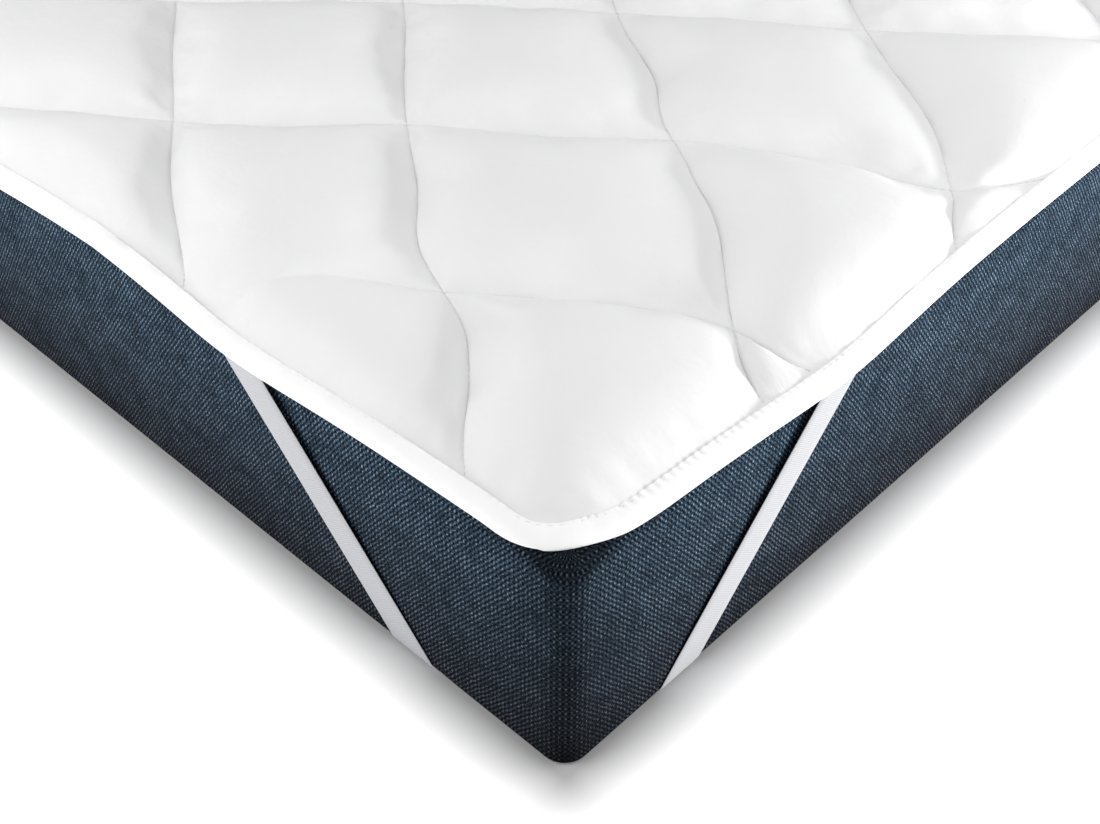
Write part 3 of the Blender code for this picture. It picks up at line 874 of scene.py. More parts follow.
# The valley that the stitches draw along the tape, its place and width as shares of the tape's width
StitchValley = namedtuple("StitchValley", "depth middle width")
STITCH_VALLEY = StitchValley(depth=0.0008, middle=0.10, width=0.06)

# The fold round the tape's edge, counted in half thicknesses, and how far each point follows the arch and the roll
FoldPoint = namedtuple("FoldPoint", "inward above arch_share roll_share")
TAPE_FOLD = (
    FoldPoint(1.10, 0.95, 0.35, 0.9),
    FoldPoint(0.42, 0.74, 0.0, 1.0),
    FoldPoint(0.08, 0.34, 0.0, 1.0),
    FoldPoint(0.0, 0.0, 0.0, 1.0),
    FoldPoint(0.08, -0.38, 0.0, 1.0),
    FoldPoint(0.42, -0.78, 0.0, 1.0),
    FoldPoint(1.10, -1.0, 0.0, 0.8),
)

# Underneath: where the tape is shaped on its way in, and how much of the puckers shows there
UNDER_SHAPED_AT, UNDER_PUCKER_SHARE = 0.6, 0.2

# Inside the fold, in half thicknesses: where the two walls part, how deep it goes, and how much it follows the
# roll. On its way out, where the upper wall is shaped, and how far it follows the arch there.
INNER_WALLS, INNER_DEEPEST, INNER_ROLL_SHARE = 1.3, 0.7, 0.7
INNER_SHAPED_AT, INNER_ARCH_SHARE = 0.55, 0.4


def tape_section(tape, tip, travelled, pitch):
    """Points round the folded tape: over the top from the stitches, round the edge, back under and inside."""
    x, y = tip
    high = tape.half_height
    low = high - TAPE_WALL
    strain = LEAST_STRAIN + (1.0 - LEAST_STRAIN) * stitch_strain(x, y)
    lobe = abs(math.sin(math.pi * travelled / pitch)) ** PUCKER_ROUNDNESS
    pucker = tape.puckering * lumpy(strain * (PUCKER_SWELL * lobe - PUCKER_SINK), PUCKER_LUMPS, x, y)
    scallop = EDGE_SCALLOP * strain * lobe
    hump = lumpy(TAPE_ARCH, TAPE_ARCH_LUMPS, x, y)
    hump += TAPE_WRINKLES.height * strain * uneven(x, y, TAPE_WRINKLES.size, TAPE_WRINKLES.seed)
    joined = past_join(x, y)
    roll, step = TAPE_JOIN.roll * joined, TAPE_JOIN.step * joined
    section = []
    for share_out in TAPE_STATIONS:
        bell = math.sin(math.pi * min(share_out / TAPE_ARCH_END, 1.0))
        gathered = pucker * math.exp(-share_out / PUCKER_FADE)
        from_valley = (share_out - STITCH_VALLEY.middle) / STITCH_VALLEY.width
        valley = -STITCH_VALLEY.depth * strain * math.exp(-from_valley ** 2) * (1.0 - lobe)
        above = high + hump * bell + gathered + valley - roll * share_out ** 2 - step * share_out
        edge = scallop if share_out == 0.0 else 0.0
        section.append((tape.width * (1 - share_out) + edge, above))
    drop = roll + step
    for fold in TAPE_FOLD:
        section.append((high * fold.inward, high * fold.above + fold.arch_share * hump - drop * fold.roll_share))
    section += [
        (tape.under_width * UNDER_SHAPED_AT, -high - UNDER_PUCKER_SHARE * pucker),
        (tape.under_width, -high),
        (tape.under_width, -low),
        (high * INNER_WALLS, -low - drop * INNER_ROLL_SHARE),
        (high * INNER_DEEPEST, -drop),
        (high * INNER_WALLS, low - drop * INNER_ROLL_SHARE),
        (tape.width * INNER_SHAPED_AT, low + INNER_ARCH_SHARE * hump),
        (tape.width + scallop, low + pucker),
    ]
    return section


def build_edge_tape(tape, pitch):
    """One long tape folded round the topper's rim, puckered where it is sewn down."""
    rim = Rim(tape)
    rings, run = [], []
    travelled = 0.0
    before = rim.stations[-1].tip_plan
    next_stations = rim.stations[1:] + rim.stations[:1]
    around = sum((b.tip_plan - a.tip_plan).length for a, b in zip(rim.stations, next_stations))
    whole_pitch = around / round(around / pitch)
    for station in rim.stations:
        travelled += (station.tip_plan - before).length
        before = station.tip_plan
        section = tape_section(tape, station.tip_plan, travelled, whole_pitch)
        rings.append([station.at(inward, above) for inward, above in section])
        run.append(travelled)
    points, faces = skin(rings, closed_path=True, capped=False)
    mesh = new_mesh("edge_tape_cloth", points, faces)
    count = len(rings[0])
    girth = [0.0]
    for a, b in zip(rings[0], rings[0][1:]):
        girth.append(girth[-1] + (b - a).length)
    set_uv(mesh, [(run[k // count], girth[k % count]) for k in range(len(points))])
    finish_cloth(mesh, TAPE_SHARP_FROM)
    return new_object("edge_binding", mesh), rim, around, girth[-1], whole_pitch


# -------------------------------------------------------------------------------- straps

# How the strap lies: its gap to the mattress, the height where it goes in under the tape, how far it stands off the
# side there, and how much rounder it turns under than the mattress does
STRAP_GAP = 0.0005
STRAP_TOP_HEIGHT = 0.1772
STRAP_LEAN = 0.0044
BEND_EXTRA_RADIUS = 0.001

# Sections up a side, round the lower edge and under the corner
STRAP_CLIMB_STEPS = 24
BEND_STEPS = 8
STRAP_UNDER_STEPS = 16
STRAP_SHARP_FROM = math.radians(50.0)

# Round a strap's section: place across its width and through its thickness, each from -1 to 1
STRAP_OUTLINE = (
    (-0.96, -1.0), (-0.5, -1.0), (0.0, -1.0), (0.5, -1.0), (0.96, -1.0), (1.0, 0.0),
    (0.96, 0.9), (0.5, 1.0), (0.0, 1.0), (-0.5, 1.0), (-0.96, 0.9), (-1.0, 0.0),
)


class StrapSide:
    """One of the two sides that a strap crosses, with its own along-the-side and outward directions."""

    def __init__(self, sign_x, sign_y, run, on_short_side, foot_of_other, strap, bottom_radius):
        self.run, self.strap, self.bottom_radius = run, strap, bottom_radius
        self.lean = (run.top - run.foot) / BED_HEIGHT
        self.corner = Vector((sign_x * BED_WIDTH / 2, sign_y * BED_LENGTH / 2))
        self.along = Vector((-sign_x, 0.0)) if on_short_side else Vector((0.0, -sign_y))
        self.outward = Vector((0.0, sign_y)) if on_short_side else Vector((sign_x, 0.0))
        self.half_on_side = strap.width / 2 * math.hypot(self.lean, 1.0)
        self.half_below = strap.width / 2 * math.hypot(run.foot / foot_of_other, 1.0)

    def section(self, climb, middle, facing, half_length):
        """Points round the strap on a line along the side, from its inner edge round to its outer face."""
        centre = self.run.foot + self.lean * climb
        half_thick = self.strap.thickness / 2
        points = []
        for end, face in STRAP_OUTLINE:
            out = middle[0] + facing[0] * face * half_thick
            height = middle[1] + facing[1] * face * half_thick
            plan = self.corner + self.along * (centre + end * half_length) + self.outward * out
            points.append(Vector((plan.x, plan.y, height)))
        return points

    def sections(self):
        """Sections from the top of the side down and round the mattress's lower edge."""
        proud = STRAP_GAP + self.strap.thickness / 2
        radius = self.bottom_radius + BEND_EXTRA_RADIUS
        centre_out, centre_height = proud - radius, proud + radius
        found = []
        for k in range(STRAP_CLIMB_STEPS):
            height = lerp(STRAP_TOP_HEIGHT, centre_height, k / STRAP_CLIMB_STEPS)
            lean = STRAP_LEAN * (height - centre_height) / (STRAP_TOP_HEIGHT - centre_height)
            found.append(self.section(height, (proud + lean, height), (1.0, 0.0), self.half_on_side))
        for k in range(BEND_STEPS + 1):
            turned = math.pi / 2 * k / BEND_STEPS
            facing = (math.cos(turned), -math.sin(turned))
            middle = (centre_out + radius * facing[0], centre_height + radius * facing[1])
            half = lerp(self.half_on_side, self.half_below, k / BEND_STEPS)
            found.append(self.section(centre_height - radius * turned, middle, facing, half))
        return found


def build_strap(name, sign_x, sign_y, strap, bottom_radius):
    """One strap down the short side, straight across under the corner and up the long side."""
    short, long = (
        StrapSide(sign_x, sign_y, run, on_short_side, other.foot, strap, bottom_radius).sections()
        for run, on_short_side, other in (
            (SHORT_SIDE_RUN, True, LONG_SIDE_RUN),
            (LONG_SIDE_RUN, False, SHORT_SIDE_RUN),
        )
    )
    under = []
    for k in range(1, STRAP_UNDER_STEPS):
        t = k / STRAP_UNDER_STEPS
        under.append([lerp(a, b, t) for a, b in zip(short[-1], long[-1])])
    rings = short + under + long[::-1]
    points, faces = skin(rings, closed_path=False, capped=True)
    mesh = new_mesh(name, points, faces)
    count = len(STRAP_OUTLINE)
    middles = [sum(ring, Vector()) / count for ring in rings]
    run = [0.0]
    for a, b in zip(middles, middles[1:]):
        run.append(run[-1] + (b - a).length)
    uvs = []
    for k in range(len(points)):
        # The ribs cross the strap squarely, so a point's run is measured along the strap's own direction
        ring = k // count
        ahead, behind = middles[min(ring + 1, len(rings) - 1)], middles[max(ring - 1, 0)]
        along = (ahead - behind).normalized()
        off = (points[k] - middles[ring]).dot(along)
        uvs.append((run[ring] + off, STRAP_OUTLINE[k % count][0] * strap.width / 2))
    set_uv(mesh, uvs)
    finish_cloth(mesh, STRAP_SHARP_FROM)
    return new_object(name, mesh), run[-1]


# -------------------------------------------------------------------------------- mattress

# The groove under a strap
GROOVE_HALF_WIDTH = 0.0165
GROOVE_EASE = 0.006
GROOVE_DEPTH = 0.0026

# The rings: how far in they go underneath and how close, how far apart and how many they are on top, and the steps
# round an upright corner and round an edge
UNDERSIDE_REACH = 0.210
UNDERSIDE_SPACING = 0.006
TOP_SPACING = 0.010
TOP_RINGS = 5
CORNER_STEPS = 10
EDGE_STEPS = 6
LEAST_ROUNDNESS = 0.25

# How far round a corner the twill turns over, how far the painted shade on the upright corners reaches, how much
# darker that painted shade gets under the tape, and how deep it may get
TWILL_TURN = 0.034
CORNER_PAINTED_SHADE_REACH = 0.040
PAINTED_UNDER_TAPE_SHADE = 2.0
DEEPEST_PAINTED_SHADE = 1.2


def strap_groove(x, y):
    """How far the mattress's underside gives way over a strap at a plan point, from 0 to 1."""
    away_x, away_y = BED_WIDTH / 2 - abs(x), BED_LENGTH / 2 - abs(y)
    a, b = SHORT_SIDE_RUN.foot, LONG_SIDE_RUN.foot
    off = abs(away_x * b + away_y * a - a * b) / math.hypot(a, b)
    return 1.0 - smoothstep((off - GROOVE_HALF_WIDTH) / GROOVE_EASE)


def mattress_rings(low, high, cell):
    """How far in and how high each ring of the mattress lies, from the underside up round the side to the top."""
    under_steps = round(UNDERSIDE_REACH / UNDERSIDE_SPACING)
    side_steps = round((BED_HEIGHT - low - high) / cell)
    quarter = [math.pi / 2 * k / EDGE_STEPS for k in range(EDGE_STEPS + 1)]
    rings = [(UNDERSIDE_REACH * (1 - k / under_steps) + low, 0.0) for k in range(under_steps)]
    rings += [(low * (1 - math.sin(turned)), low * (1 - math.cos(turned))) for turned in quarter]
    rings += [(0.0, lerp(low, BED_HEIGHT - high, k / side_steps)) for k in range(1, side_steps)]
    rings += [(high * (1 - math.cos(turned)), BED_HEIGHT - high * (1 - math.sin(turned))) for turned in quarter]
    rings += [(high + TOP_SPACING * k, BED_HEIGHT) for k in range(1, TOP_RINGS + 1)]
    return rings, under_steps + EDGE_STEPS


def build_mattress(settings):
    """The mattress in its denim cover: rounded edges, soft sides, and an underside that rests flat."""
    half_x, half_y = BED_WIDTH / 2, BED_LENGTH / 2
    high = settings.top_radius
    rings, rings_below_side = mattress_rings(settings.bottom_radius, high, settings.cell)
    pieces = side_pieces(half_x, half_y, settings.corner_radius, settings.cell)
    outline = rounded_rectangle(half_x, half_y, settings.corner_radius, CORNER_STEPS, pieces)
    travel = [0.0]
    for (a, _), (b, _) in zip(outline, outline[1:]):
        travel.append(travel[-1] + (b - a).length)
    points, uvs, ribs, foot, edge = [], [], [], [], []
    girth = 0.0
    last = rings[0]
    for order, (inset, height) in enumerate(rings):
        girth += math.hypot(inset - last[0], height - last[1])
        last = (inset, height)
        # Inner rings keep some roundness, so that a ring never folds over at its corners
        radius = max(settings.corner_radius - inset, settings.corner_radius * LEAST_ROUNDNESS)
        ring = rounded_rectangle(half_x - inset, half_y - inset, radius, CORNER_STEPS, pieces)
        for (point, outward), along in zip(ring, travel):
            z = height
            if order < rings_below_side:
                z = max(height, strap_groove(point.x, point.y) * GROOVE_DEPTH)
            points.append(Vector((point.x, point.y, z)))
            uvs.append((along, girth))
            from_corner = math.hypot(half_x - abs(point.x), half_y - abs(point.y))
            side = 1.0 if abs(outward.x) > abs(outward.y) else -1.0
            ribs.append(side * smoothstep(from_corner / TWILL_TURN))
            # Painted shade: the cover darkens towards the floor
            foot.append(max(1.0 - height / settings.foot_painted_shade_height, 0.0))
            # Painted shade on the upright corners, deeper under the tape there
            under_tape = smoothstep((height - BED_HEIGHT + high) / high) * math.exp(-from_corner / TWILL_TURN)
            shade = math.exp(-from_corner / CORNER_PAINTED_SHADE_REACH) + PAINTED_UNDER_TAPE_SHADE * under_tape
            edge.append(min(shade, DEEPEST_PAINTED_SHADE))
    count = len(outline)
    grid = [points[r * count:(r + 1) * count] for r in range(len(rings))]
    points, faces = skin(grid, closed_path=False, capped=True)
    mesh = new_mesh("denim_mattress", points, faces)
    set_uv(mesh, uvs)
    for name, values in (("rib_direction", ribs), ("foot_shade", foot), ("edge_shade", edge)):
        set_point_values(mesh, name, values)
    finish_cloth(mesh)
    return new_object("denim_mattress", mesh)


# -------------------------------------------------------------------------------- stitches

STITCH_INPUTS = {
    "Pitch": "NodeSocketFloat",
    "Stitch Length": "NodeSocketFloat",
    "Thread Width": "NodeSocketFloat",
    "Thread Height": "NodeSocketFloat",
    "Thread": "NodeSocketMaterial",
}

# A stitch is a small ball drawn out lengthwise. It shows for a share of its pitch, and its thread is flattened.
STITCH_SHARE = 0.72
THREAD_FLATNESS = 0.8
STITCH_BALL = {"Segments": 6, "Rings": 4, "Radius": 0.5}

# How far a quilting stitch stands up out of its channel, in threads, and where the tape's stitches run on the tape
QUILT_STITCH_RISE = 0.35
TAPE_STITCH_INSET = 0.0016
TAPE_STITCH_RISE = 0.0001

# Decimals to which two points are the same
SAME_POINT_DIGITS = 6


def stitch_tree():
    """Sews a line: one stitch at each pitch along every chain of edges."""
    tree = bpy.data.node_groups.new("stitch_line", "GeometryNodeTree")
    tree.interface.new_socket("Geometry", in_out="INPUT", socket_type="NodeSocketGeometry")
    for name, kind in STITCH_INPUTS.items():
        tree.interface.new_socket(name, in_out="INPUT", socket_type=kind)
    tree.interface.new_socket("Geometry", in_out="OUTPUT", socket_type="NodeSocketGeometry")
    nodes = Nodes(tree)
    given = nodes.add("NodeGroupInput").outputs

    def step(kind, inputs, **settings):
        """One node with what feeds it, and its first output."""
        node = nodes.add(kind, **settings)
        for name, value in inputs.items():
            nodes.feed(node.inputs[name], value)
        return node.outputs[0]

    curve = step("GeometryNodeMeshToCurve", {"Mesh": given["Geometry"]})
    spaced = step("GeometryNodeResampleCurve", {"Curve": curve, "Length": given["Pitch"]}, mode="LENGTH")
    ball = step("GeometryNodeMeshUVSphere", STITCH_BALL)
    sides = {"X": given["Stitch Length"], "Y": given["Thread Width"], "Z": given["Thread Height"]}
    size = step("ShaderNodeCombineXYZ", sides)
    tangent = step("GeometryNodeInputTangent", {})
    turn = step("FunctionNodeAlignRotationToVector", {"Vector": tangent}, axis="X")
    placed = {"Points": spaced, "Instance": ball, "Rotation": turn, "Scale": size}
    real = step("GeometryNodeRealizeInstances", {"Geometry": step("GeometryNodeInstanceOnPoints", placed)})
    finished = step("GeometryNodeSetMaterial", {"Geometry": real, "Material": given["Thread"]})
    nodes.join(finished, nodes.add("NodeGroupOutput").inputs["Geometry"])
    return tree


def sew(name, edges, pitch, thread, material):
    """Stitches along edges, each a pair of points, as one plain mesh."""
    index, points, pairs = {}, [], []
    for pair in edges:
        ends = []
        for point in pair:
            key = tuple(round(c, SAME_POINT_DIGITS) for c in point)
            if key not in index:
                index[key] = len(points)
                points.append(point)
            ends.append(index[key])
        pairs.append(ends)
    line = new_object(name + "_path", new_mesh(name + "_path", points, [], pairs))
    tree = bpy.data.node_groups.get("stitch_line") or stitch_tree()
    sewing = line.modifiers.new("sewing", "NODES")
    sewing.node_group = tree
    sockets = {s.name: s.identifier for s in tree.interface.items_tree if s.in_out == "INPUT"}
    values = {
        "Pitch": pitch,
        "Stitch Length": pitch * STITCH_SHARE,
        "Thread Width": thread,
        "Thread Height": thread * THREAD_FLATNESS,
        "Thread": material,
    }
    for socket, value in values.items():
        sewing[sockets[socket]] = value
    made = evaluated_mesh(line)
    made.name = name
    made.shade_smooth()
    return new_object(name, made)


# -------------------------------------------------------------------------------- materials

def node_group(name, inputs, outputs):
    """A shader node group with named float, vector or colour sockets, its nodes, input and output."""
    group = bpy.data.node_groups.new(name, "ShaderNodeTree")
    for socket, (kind, default) in inputs.items():
        made = group.interface.new_socket(socket, in_out="INPUT", socket_type=kind)
        if default is not None:
            made.default_value = default
    for socket, kind in outputs.items():
        group.interface.new_socket(socket, in_out="OUTPUT", socket_type=kind)
    nodes = Nodes(group)
    return nodes, nodes.add("NodeGroupInput").outputs, nodes.add("NodeGroupOutput").inputs


# A weave's two sets of threads: the way each crosses, the pitch it keeps, how its own unevenness is shifted, and
# how much it wanders
ThreadSet = namedtuple("ThreadSet", "axis pitch shift wander")
THREAD_SETS = (ThreadSet("X", "Pitch Across", 3.1, 2.0), ThreadSet("Y", "Pitch Along", 7.7, 6.0))

# Sizes in the weave count per pitch: the wandering, the tone of single threads, and the patches of tone with
# their weights
WANDER_PER_PITCH = 0.30
TONE_PER_PITCH = 2.6
TONE_PATCHES = ((0.33, 0.26), (0.09, 0.20))

# How much of the weave's relief is its diagonal ribs. The rest is threads side by side.
RIB_SHARE = 0.70

# Soft cloth: how high its creases are beside its dents, and how many shades it has to a dent
CREASE_SHARE = 0.20
SHADE_PER_DENT = 0.35

# Denim: the heights in the weave between which the light thread shows, how sharply it does, how the tone of single
# threads brightens it, and the lightness between which pale flecks show
RIB_TOPS, RIB_SHARPNESS = (0.22, 0.92), 1.1
THREAD_TONES, TONE_GAIN = (0.35, 0.68), (0.10, 2.0)
FLECK_LIGHTNESS = (0.95, 1.6)

# Cotton: the noise between which its shades and its fibres spread, how much darker each gets, and its roughness
COTTON_SHADES, SHADE_DARKENING = (0.3, 0.7), 0.965
COTTON_FIBRES, FIBRE_DARKENING, FIBRE_WEIGHT = (0.2, 0.9), 0.985, 0.5
COTTON_ROUGHNESS = (0.66, 0.8)

# Elastic: how its ribs wander, how much darker the painted shade in the grooves between them is, and its lengthwise
# threads
ELASTIC_WANDER_SCALE, ELASTIC_WANDER = 180.0, 0.9
ELASTIC_GROOVES, ELASTIC_GROOVE_PAINTED_SHADE = (0.0, 0.75), 0.80
ELASTIC_THREAD_PITCH = 0.0009
ELASTIC_THREADS, THREAD_DARKENING, THREAD_WEIGHT = (0.3, 0.8), 0.93, 0.6

# Sewing thread: how fine its twist is, and how dark
TWIST_SCALE, TWIST_DARKENING = 1800.0, 0.9


def woven_threads():
    """Threads crossing at two pitches. Out come how high the cloth is, and how light each thread is."""
    name = "woven_threads"
    if name in bpy.data.node_groups:
        return bpy.data.node_groups[name]
    nodes, given, result = node_group(
        name,
        {
            "Cloth": ("NodeSocketVector", None),
            "Pitch Across": ("NodeSocketFloat", 0.001),
            "Pitch Along": ("NodeSocketFloat", 0.001),
            "Rib Direction": ("NodeSocketFloat", 1.0),
            "Ribs": ("NodeSocketFloat", 0.6),
            "Unevenness": ("NodeSocketFloat", 0.2),
        },
        {"Height": "NodeSocketFloat", "Thread Tone": "NodeSocketFloat"},
    )
    place = nodes.add("ShaderNodeSeparateXYZ")
    nodes.join(given["Cloth"], place.inputs[0])
    phases = []
    for threads in THREAD_SETS:
        scale = nodes.math("DIVIDE", WANDER_PER_PITCH, given[threads.pitch])
        moved = nodes.add("ShaderNodeVectorMath", operation="ADD")
        nodes.join(given["Cloth"], moved.inputs[0])
        moved.inputs[1].default_value = (threads.shift, threads.shift, 0.0)
        wander = nodes.math("SUBTRACT", nodes.noise(moved.outputs[0], scale, 3.0, 0.6), 0.5)
        turns = nodes.math("DIVIDE", place.outputs[threads.axis], given[threads.pitch])
        wander = nodes.math("MULTIPLY", wander, nodes.math("MULTIPLY", given["Unevenness"], threads.wander))
        phases.append(nodes.math("ADD", turns, wander))
    across, along = phases
    falling = nodes.wave(nodes.math("ADD", across, along))
    rising = nodes.wave(nodes.math("SUBTRACT", across, along))
    lean = nodes.math("MULTIPLY_ADD", given["Rib Direction"], 0.5, 0.5)
    lean = nodes.math("MULTIPLY_ADD", nodes.math("SUBTRACT", lean, 0.5), given["Ribs"], 0.5)
    other_ribs = nodes.math("MULTIPLY", rising, nodes.math("SUBTRACT", 1.0, lean))
    ribs = nodes.math("ADD", nodes.math("MULTIPLY", falling, lean), other_ribs)
    ribs = nodes.math("MULTIPLY", ribs, RIB_SHARE)
    height = nodes.math("MULTIPLY_ADD", nodes.wave(across), 1.0 - RIB_SHARE, ribs)
    nodes.join(nodes.math("MULTIPLY_ADD", height, 0.5, 0.5), result["Height"])
    tone = nodes.noise(given["Cloth"], nodes.math("DIVIDE", TONE_PER_PITCH, given["Pitch Across"]), 1.0, 0.6)
    for per_pitch, weight in TONE_PATCHES:
        patches = nodes.noise(given["Cloth"], nodes.math("DIVIDE", per_pitch, given["Pitch Across"]), 2.0, 0.6)
        tone = nodes.math("MULTIPLY_ADD", nodes.math("SUBTRACT", patches, 0.5), weight, tone)
    nodes.join(tone, result["Thread Tone"])
    return nodes.tree


def soft_creases():
    """Slight unevenness of hand-filled cloth: broad dents, fine creases and a little shade variation."""
    name = "soft_creases"
    if name in bpy.data.node_groups:
        return bpy.data.node_groups[name]
    nodes, given, result = node_group(
        name,
        {
            "Cloth": ("NodeSocketVector", None),
            "Dent Size": ("NodeSocketFloat", 0.03),
            "Crease Size": ("NodeSocketFloat", 0.006),
        },
        {"Height": "NodeSocketFloat", "Shade": "NodeSocketFloat"},
    )
    dents = nodes.noise(given["Cloth"], nodes.math("DIVIDE", 1.0, given["Dent Size"]), 3.0, 0.55)
    creases = nodes.noise(given["Cloth"], nodes.math("DIVIDE", 1.0, given["Crease Size"]), 2.0, 0.5)
    nodes.join(nodes.math("MULTIPLY_ADD", creases, CREASE_SHARE, dents), result["Height"])
    shades = nodes.noise(given["Cloth"], nodes.math("DIVIDE", SHADE_PER_DENT, given["Dent Size"]), 2.0)
    nodes.join(shades, result["Shade"])
    return nodes.tree


def start_material(name, roughness, sheen):
    """A soft, dull material, its nodes, its shader and the cloth's coordinates."""
    material = bpy.data.materials.new(name)
    material.use_nodes = True
    nodes = Nodes(material.node_tree)
    shader = material.node_tree.nodes["Principled BSDF"]
    shader.inputs["Roughness"].default_value = roughness
    shader.inputs["Sheen Weight"].default_value = sheen
    shader.inputs["Sheen Roughness"].default_value = 0.5
    shader.inputs["Specular IOR Level"].default_value = 0.25
    cloth = nodes.add("ShaderNodeUVMap", uv_map="cloth").outputs["UV"]
    return material, nodes, shader, cloth


def place_group(nodes, tree, **inputs):
    """One shader group among the nodes, with what feeds it, and its outputs."""
    node = nodes.add("ShaderNodeGroup", node_tree=tree)
    for name, value in inputs.items():
        nodes.feed(node.inputs[name.replace("_", " ")], value)
    return node.outputs


def bump(nodes, shader, heights):
    """Chain bumps, each a height, its distance in metres and its strength, and feed the shader's normal."""
    normal = None
    for height, distance, strength in heights:
        node = nodes.add("ShaderNodeBump")
        node.inputs["Strength"].default_value = strength
        node.inputs["Distance"].default_value = distance
        nodes.join(height, node.inputs["Height"])
        if normal:
            nodes.join(normal, node.inputs["Normal"])
        normal = node.outputs["Normal"]
    nodes.join(normal, shader.inputs["Normal"])


def darker(tint, share):
    """A share of a colour, with its alpha."""
    return (*(c * share for c in tint), 1.0)


def denim_material(settings):
    """Coarse twill: dark between its ribs, worn light on their tops, flecked, and with painted shade at its foot,
    on its upright corners and under the tape there.
    """
    material, nodes, shader, cloth = start_material("coarse_denim", roughness=0.92, sheen=0.0)
    shader.inputs["Specular IOR Level"].default_value = 0.06
    ribs = nodes.add("ShaderNodeAttribute", attribute_name="rib_direction").outputs["Fac"]
    weave = place_group(
        nodes, woven_threads(), Cloth=cloth, Rib_Direction=ribs, Ribs=0.40, Unevenness=0.16,
        Pitch_Across=settings.thread_across, Pitch_Along=settings.thread_up,
    )
    tops = nodes.spread(weave["Height"], *RIB_TOPS)
    tone = nodes.spread(weave["Thread Tone"], *THREAD_TONES, *TONE_GAIN)
    light = nodes.math("MULTIPLY", nodes.math("POWER", tops, RIB_SHARPNESS), tone)
    dyed = nodes.mix_colour(light, (*settings.thread_dark, 1.0), (*settings.thread_light, 1.0))
    flecks = nodes.spread(light, *FLECK_LIGHTNESS)
    colours = nodes.mix_colour(flecks, dyed, (*settings.thread_pale, 1.0))
    # Painted shade: darker towards the floor, on the upright corners and under the tape there
    for attribute, deeper in (("foot_shade", settings.foot_painted_shade_tint), ("edge_shade", settings.corner_painted_shade_tint)):
        shaded = nodes.add("ShaderNodeAttribute", attribute_name=attribute).outputs["Fac"]
        colours = nodes.mix_colour(shaded, colours, (*deeper, 1.0), "MULTIPLY")
    nodes.join(colours, shader.inputs["Base Color"])
    bump(nodes, shader, ((weave["Height"], 0.0006, 0.9), (weave["Thread Tone"], 0.0004, 0.5)))
    return material


def cotton_material(name, tint, thread_pitch, dent, crease, depth):
    """Fine plain cotton over soft filling, a little uneven in shade."""
    material, nodes, shader, cloth = start_material(name, roughness=0.72, sheen=0.12)
    weave = place_group(
        nodes, woven_threads(), Cloth=cloth, Pitch_Across=thread_pitch, Pitch_Along=thread_pitch,
        Rib_Direction=1.0, Ribs=0.3, Unevenness=0.1,
    )
    soft = place_group(nodes, soft_creases(), Cloth=cloth, Dent_Size=dent, Crease_Size=crease)
    shade = nodes.spread(soft["Shade"], *COTTON_SHADES)
    fibre = nodes.spread(weave["Thread Tone"], *COTTON_FIBRES)
    base = nodes.mix_colour(shade, darker(tint, SHADE_DARKENING), (*tint, 1.0))
    colours = nodes.mix_colour(nodes.math("MULTIPLY", fibre, FIBRE_WEIGHT), base, darker(tint, FIBRE_DARKENING))
    nodes.join(colours, shader.inputs["Base Color"])
    rough = nodes.spread(weave["Thread Tone"], *COTTON_FIBRES, *COTTON_ROUGHNESS)
    nodes.join(rough, shader.inputs["Roughness"])
    bump(nodes, shader, ((soft["Height"], depth, 0.6), (weave["Height"], 0.00008, 0.5)))
    return material


def elastic_material(settings):
    """Woven elastic with fine ribs squarely across it, and painted shade in the grooves between them."""
    material, nodes, shader, cloth = start_material("ribbed_elastic", roughness=0.68, sheen=0.1)
    place = nodes.add("ShaderNodeSeparateXYZ")
    nodes.join(cloth, place.inputs[0])
    wander = nodes.math("MULTIPLY", nodes.noise(cloth, ELASTIC_WANDER_SCALE, 2.0), ELASTIC_WANDER)
    turns = nodes.math("ADD", nodes.math("DIVIDE", place.outputs["X"], settings.rib), wander)
    ribs = nodes.math("MULTIPLY_ADD", nodes.wave(turns), 0.5, 0.5)
    weave = place_group(
        nodes, woven_threads(), Cloth=cloth, Pitch_Across=settings.rib, Pitch_Along=ELASTIC_THREAD_PITCH,
        Rib_Direction=0.0, Ribs=0.0, Unevenness=0.2,
    )
    tint = tuple(settings.elastic)
    # Painted shade in the grooves between the ribs
    raised = nodes.spread(ribs, *ELASTIC_GROOVES)
    colours = nodes.mix_colour(raised, darker(tint, ELASTIC_GROOVE_PAINTED_SHADE), (*tint, 1.0))
    threads = nodes.spread(weave["Thread Tone"], *ELASTIC_THREADS)
    weight = nodes.math("MULTIPLY", threads, THREAD_WEIGHT)
    colours = nodes.mix_colour(weight, colours, darker(tint, THREAD_DARKENING))
    nodes.join(colours, shader.inputs["Base Color"])
    bump(nodes, shader, ((ribs, 0.00018, 0.7), (weave["Height"], 0.0001, 0.4)))
    return material


def thread_material(settings):
    """Twisted cotton thread."""
    material, nodes, shader, _ = start_material("sewing_thread", roughness=0.6, sheen=0.1)
    place = nodes.add("ShaderNodeTexCoord").outputs["Object"]
    twist = nodes.noise(place, TWIST_SCALE, 1.0)
    tint = tuple(settings.cotton)
    colours = nodes.mix_colour(twist, darker(tint, TWIST_DARKENING), (*tint, 1.0))
    nodes.join(colours, shader.inputs["Base Color"])
    bump(nodes, shader, ((twist, 0.0001, 0.5),))
    return material


# -------------------------------------------------------------------------------- pieces

def set_material(item, material):
    """The piece is made of this one material."""
    item.data.materials.clear()
    item.data.materials.append(material)


class TOPPER_OT_mattress(bpy.types.Operator):
    """Build the mattress in its coarse denim cover"""

    bl_idname = "topper.mattress"
    bl_label = "Build mattress"

    def execute(self, context):
        settings = context.scene.topper_mattress
        item = build_mattress(settings)
        set_material(item, denim_material(settings))
        dress(item, ["mattress"])
        return {"FINISHED"}


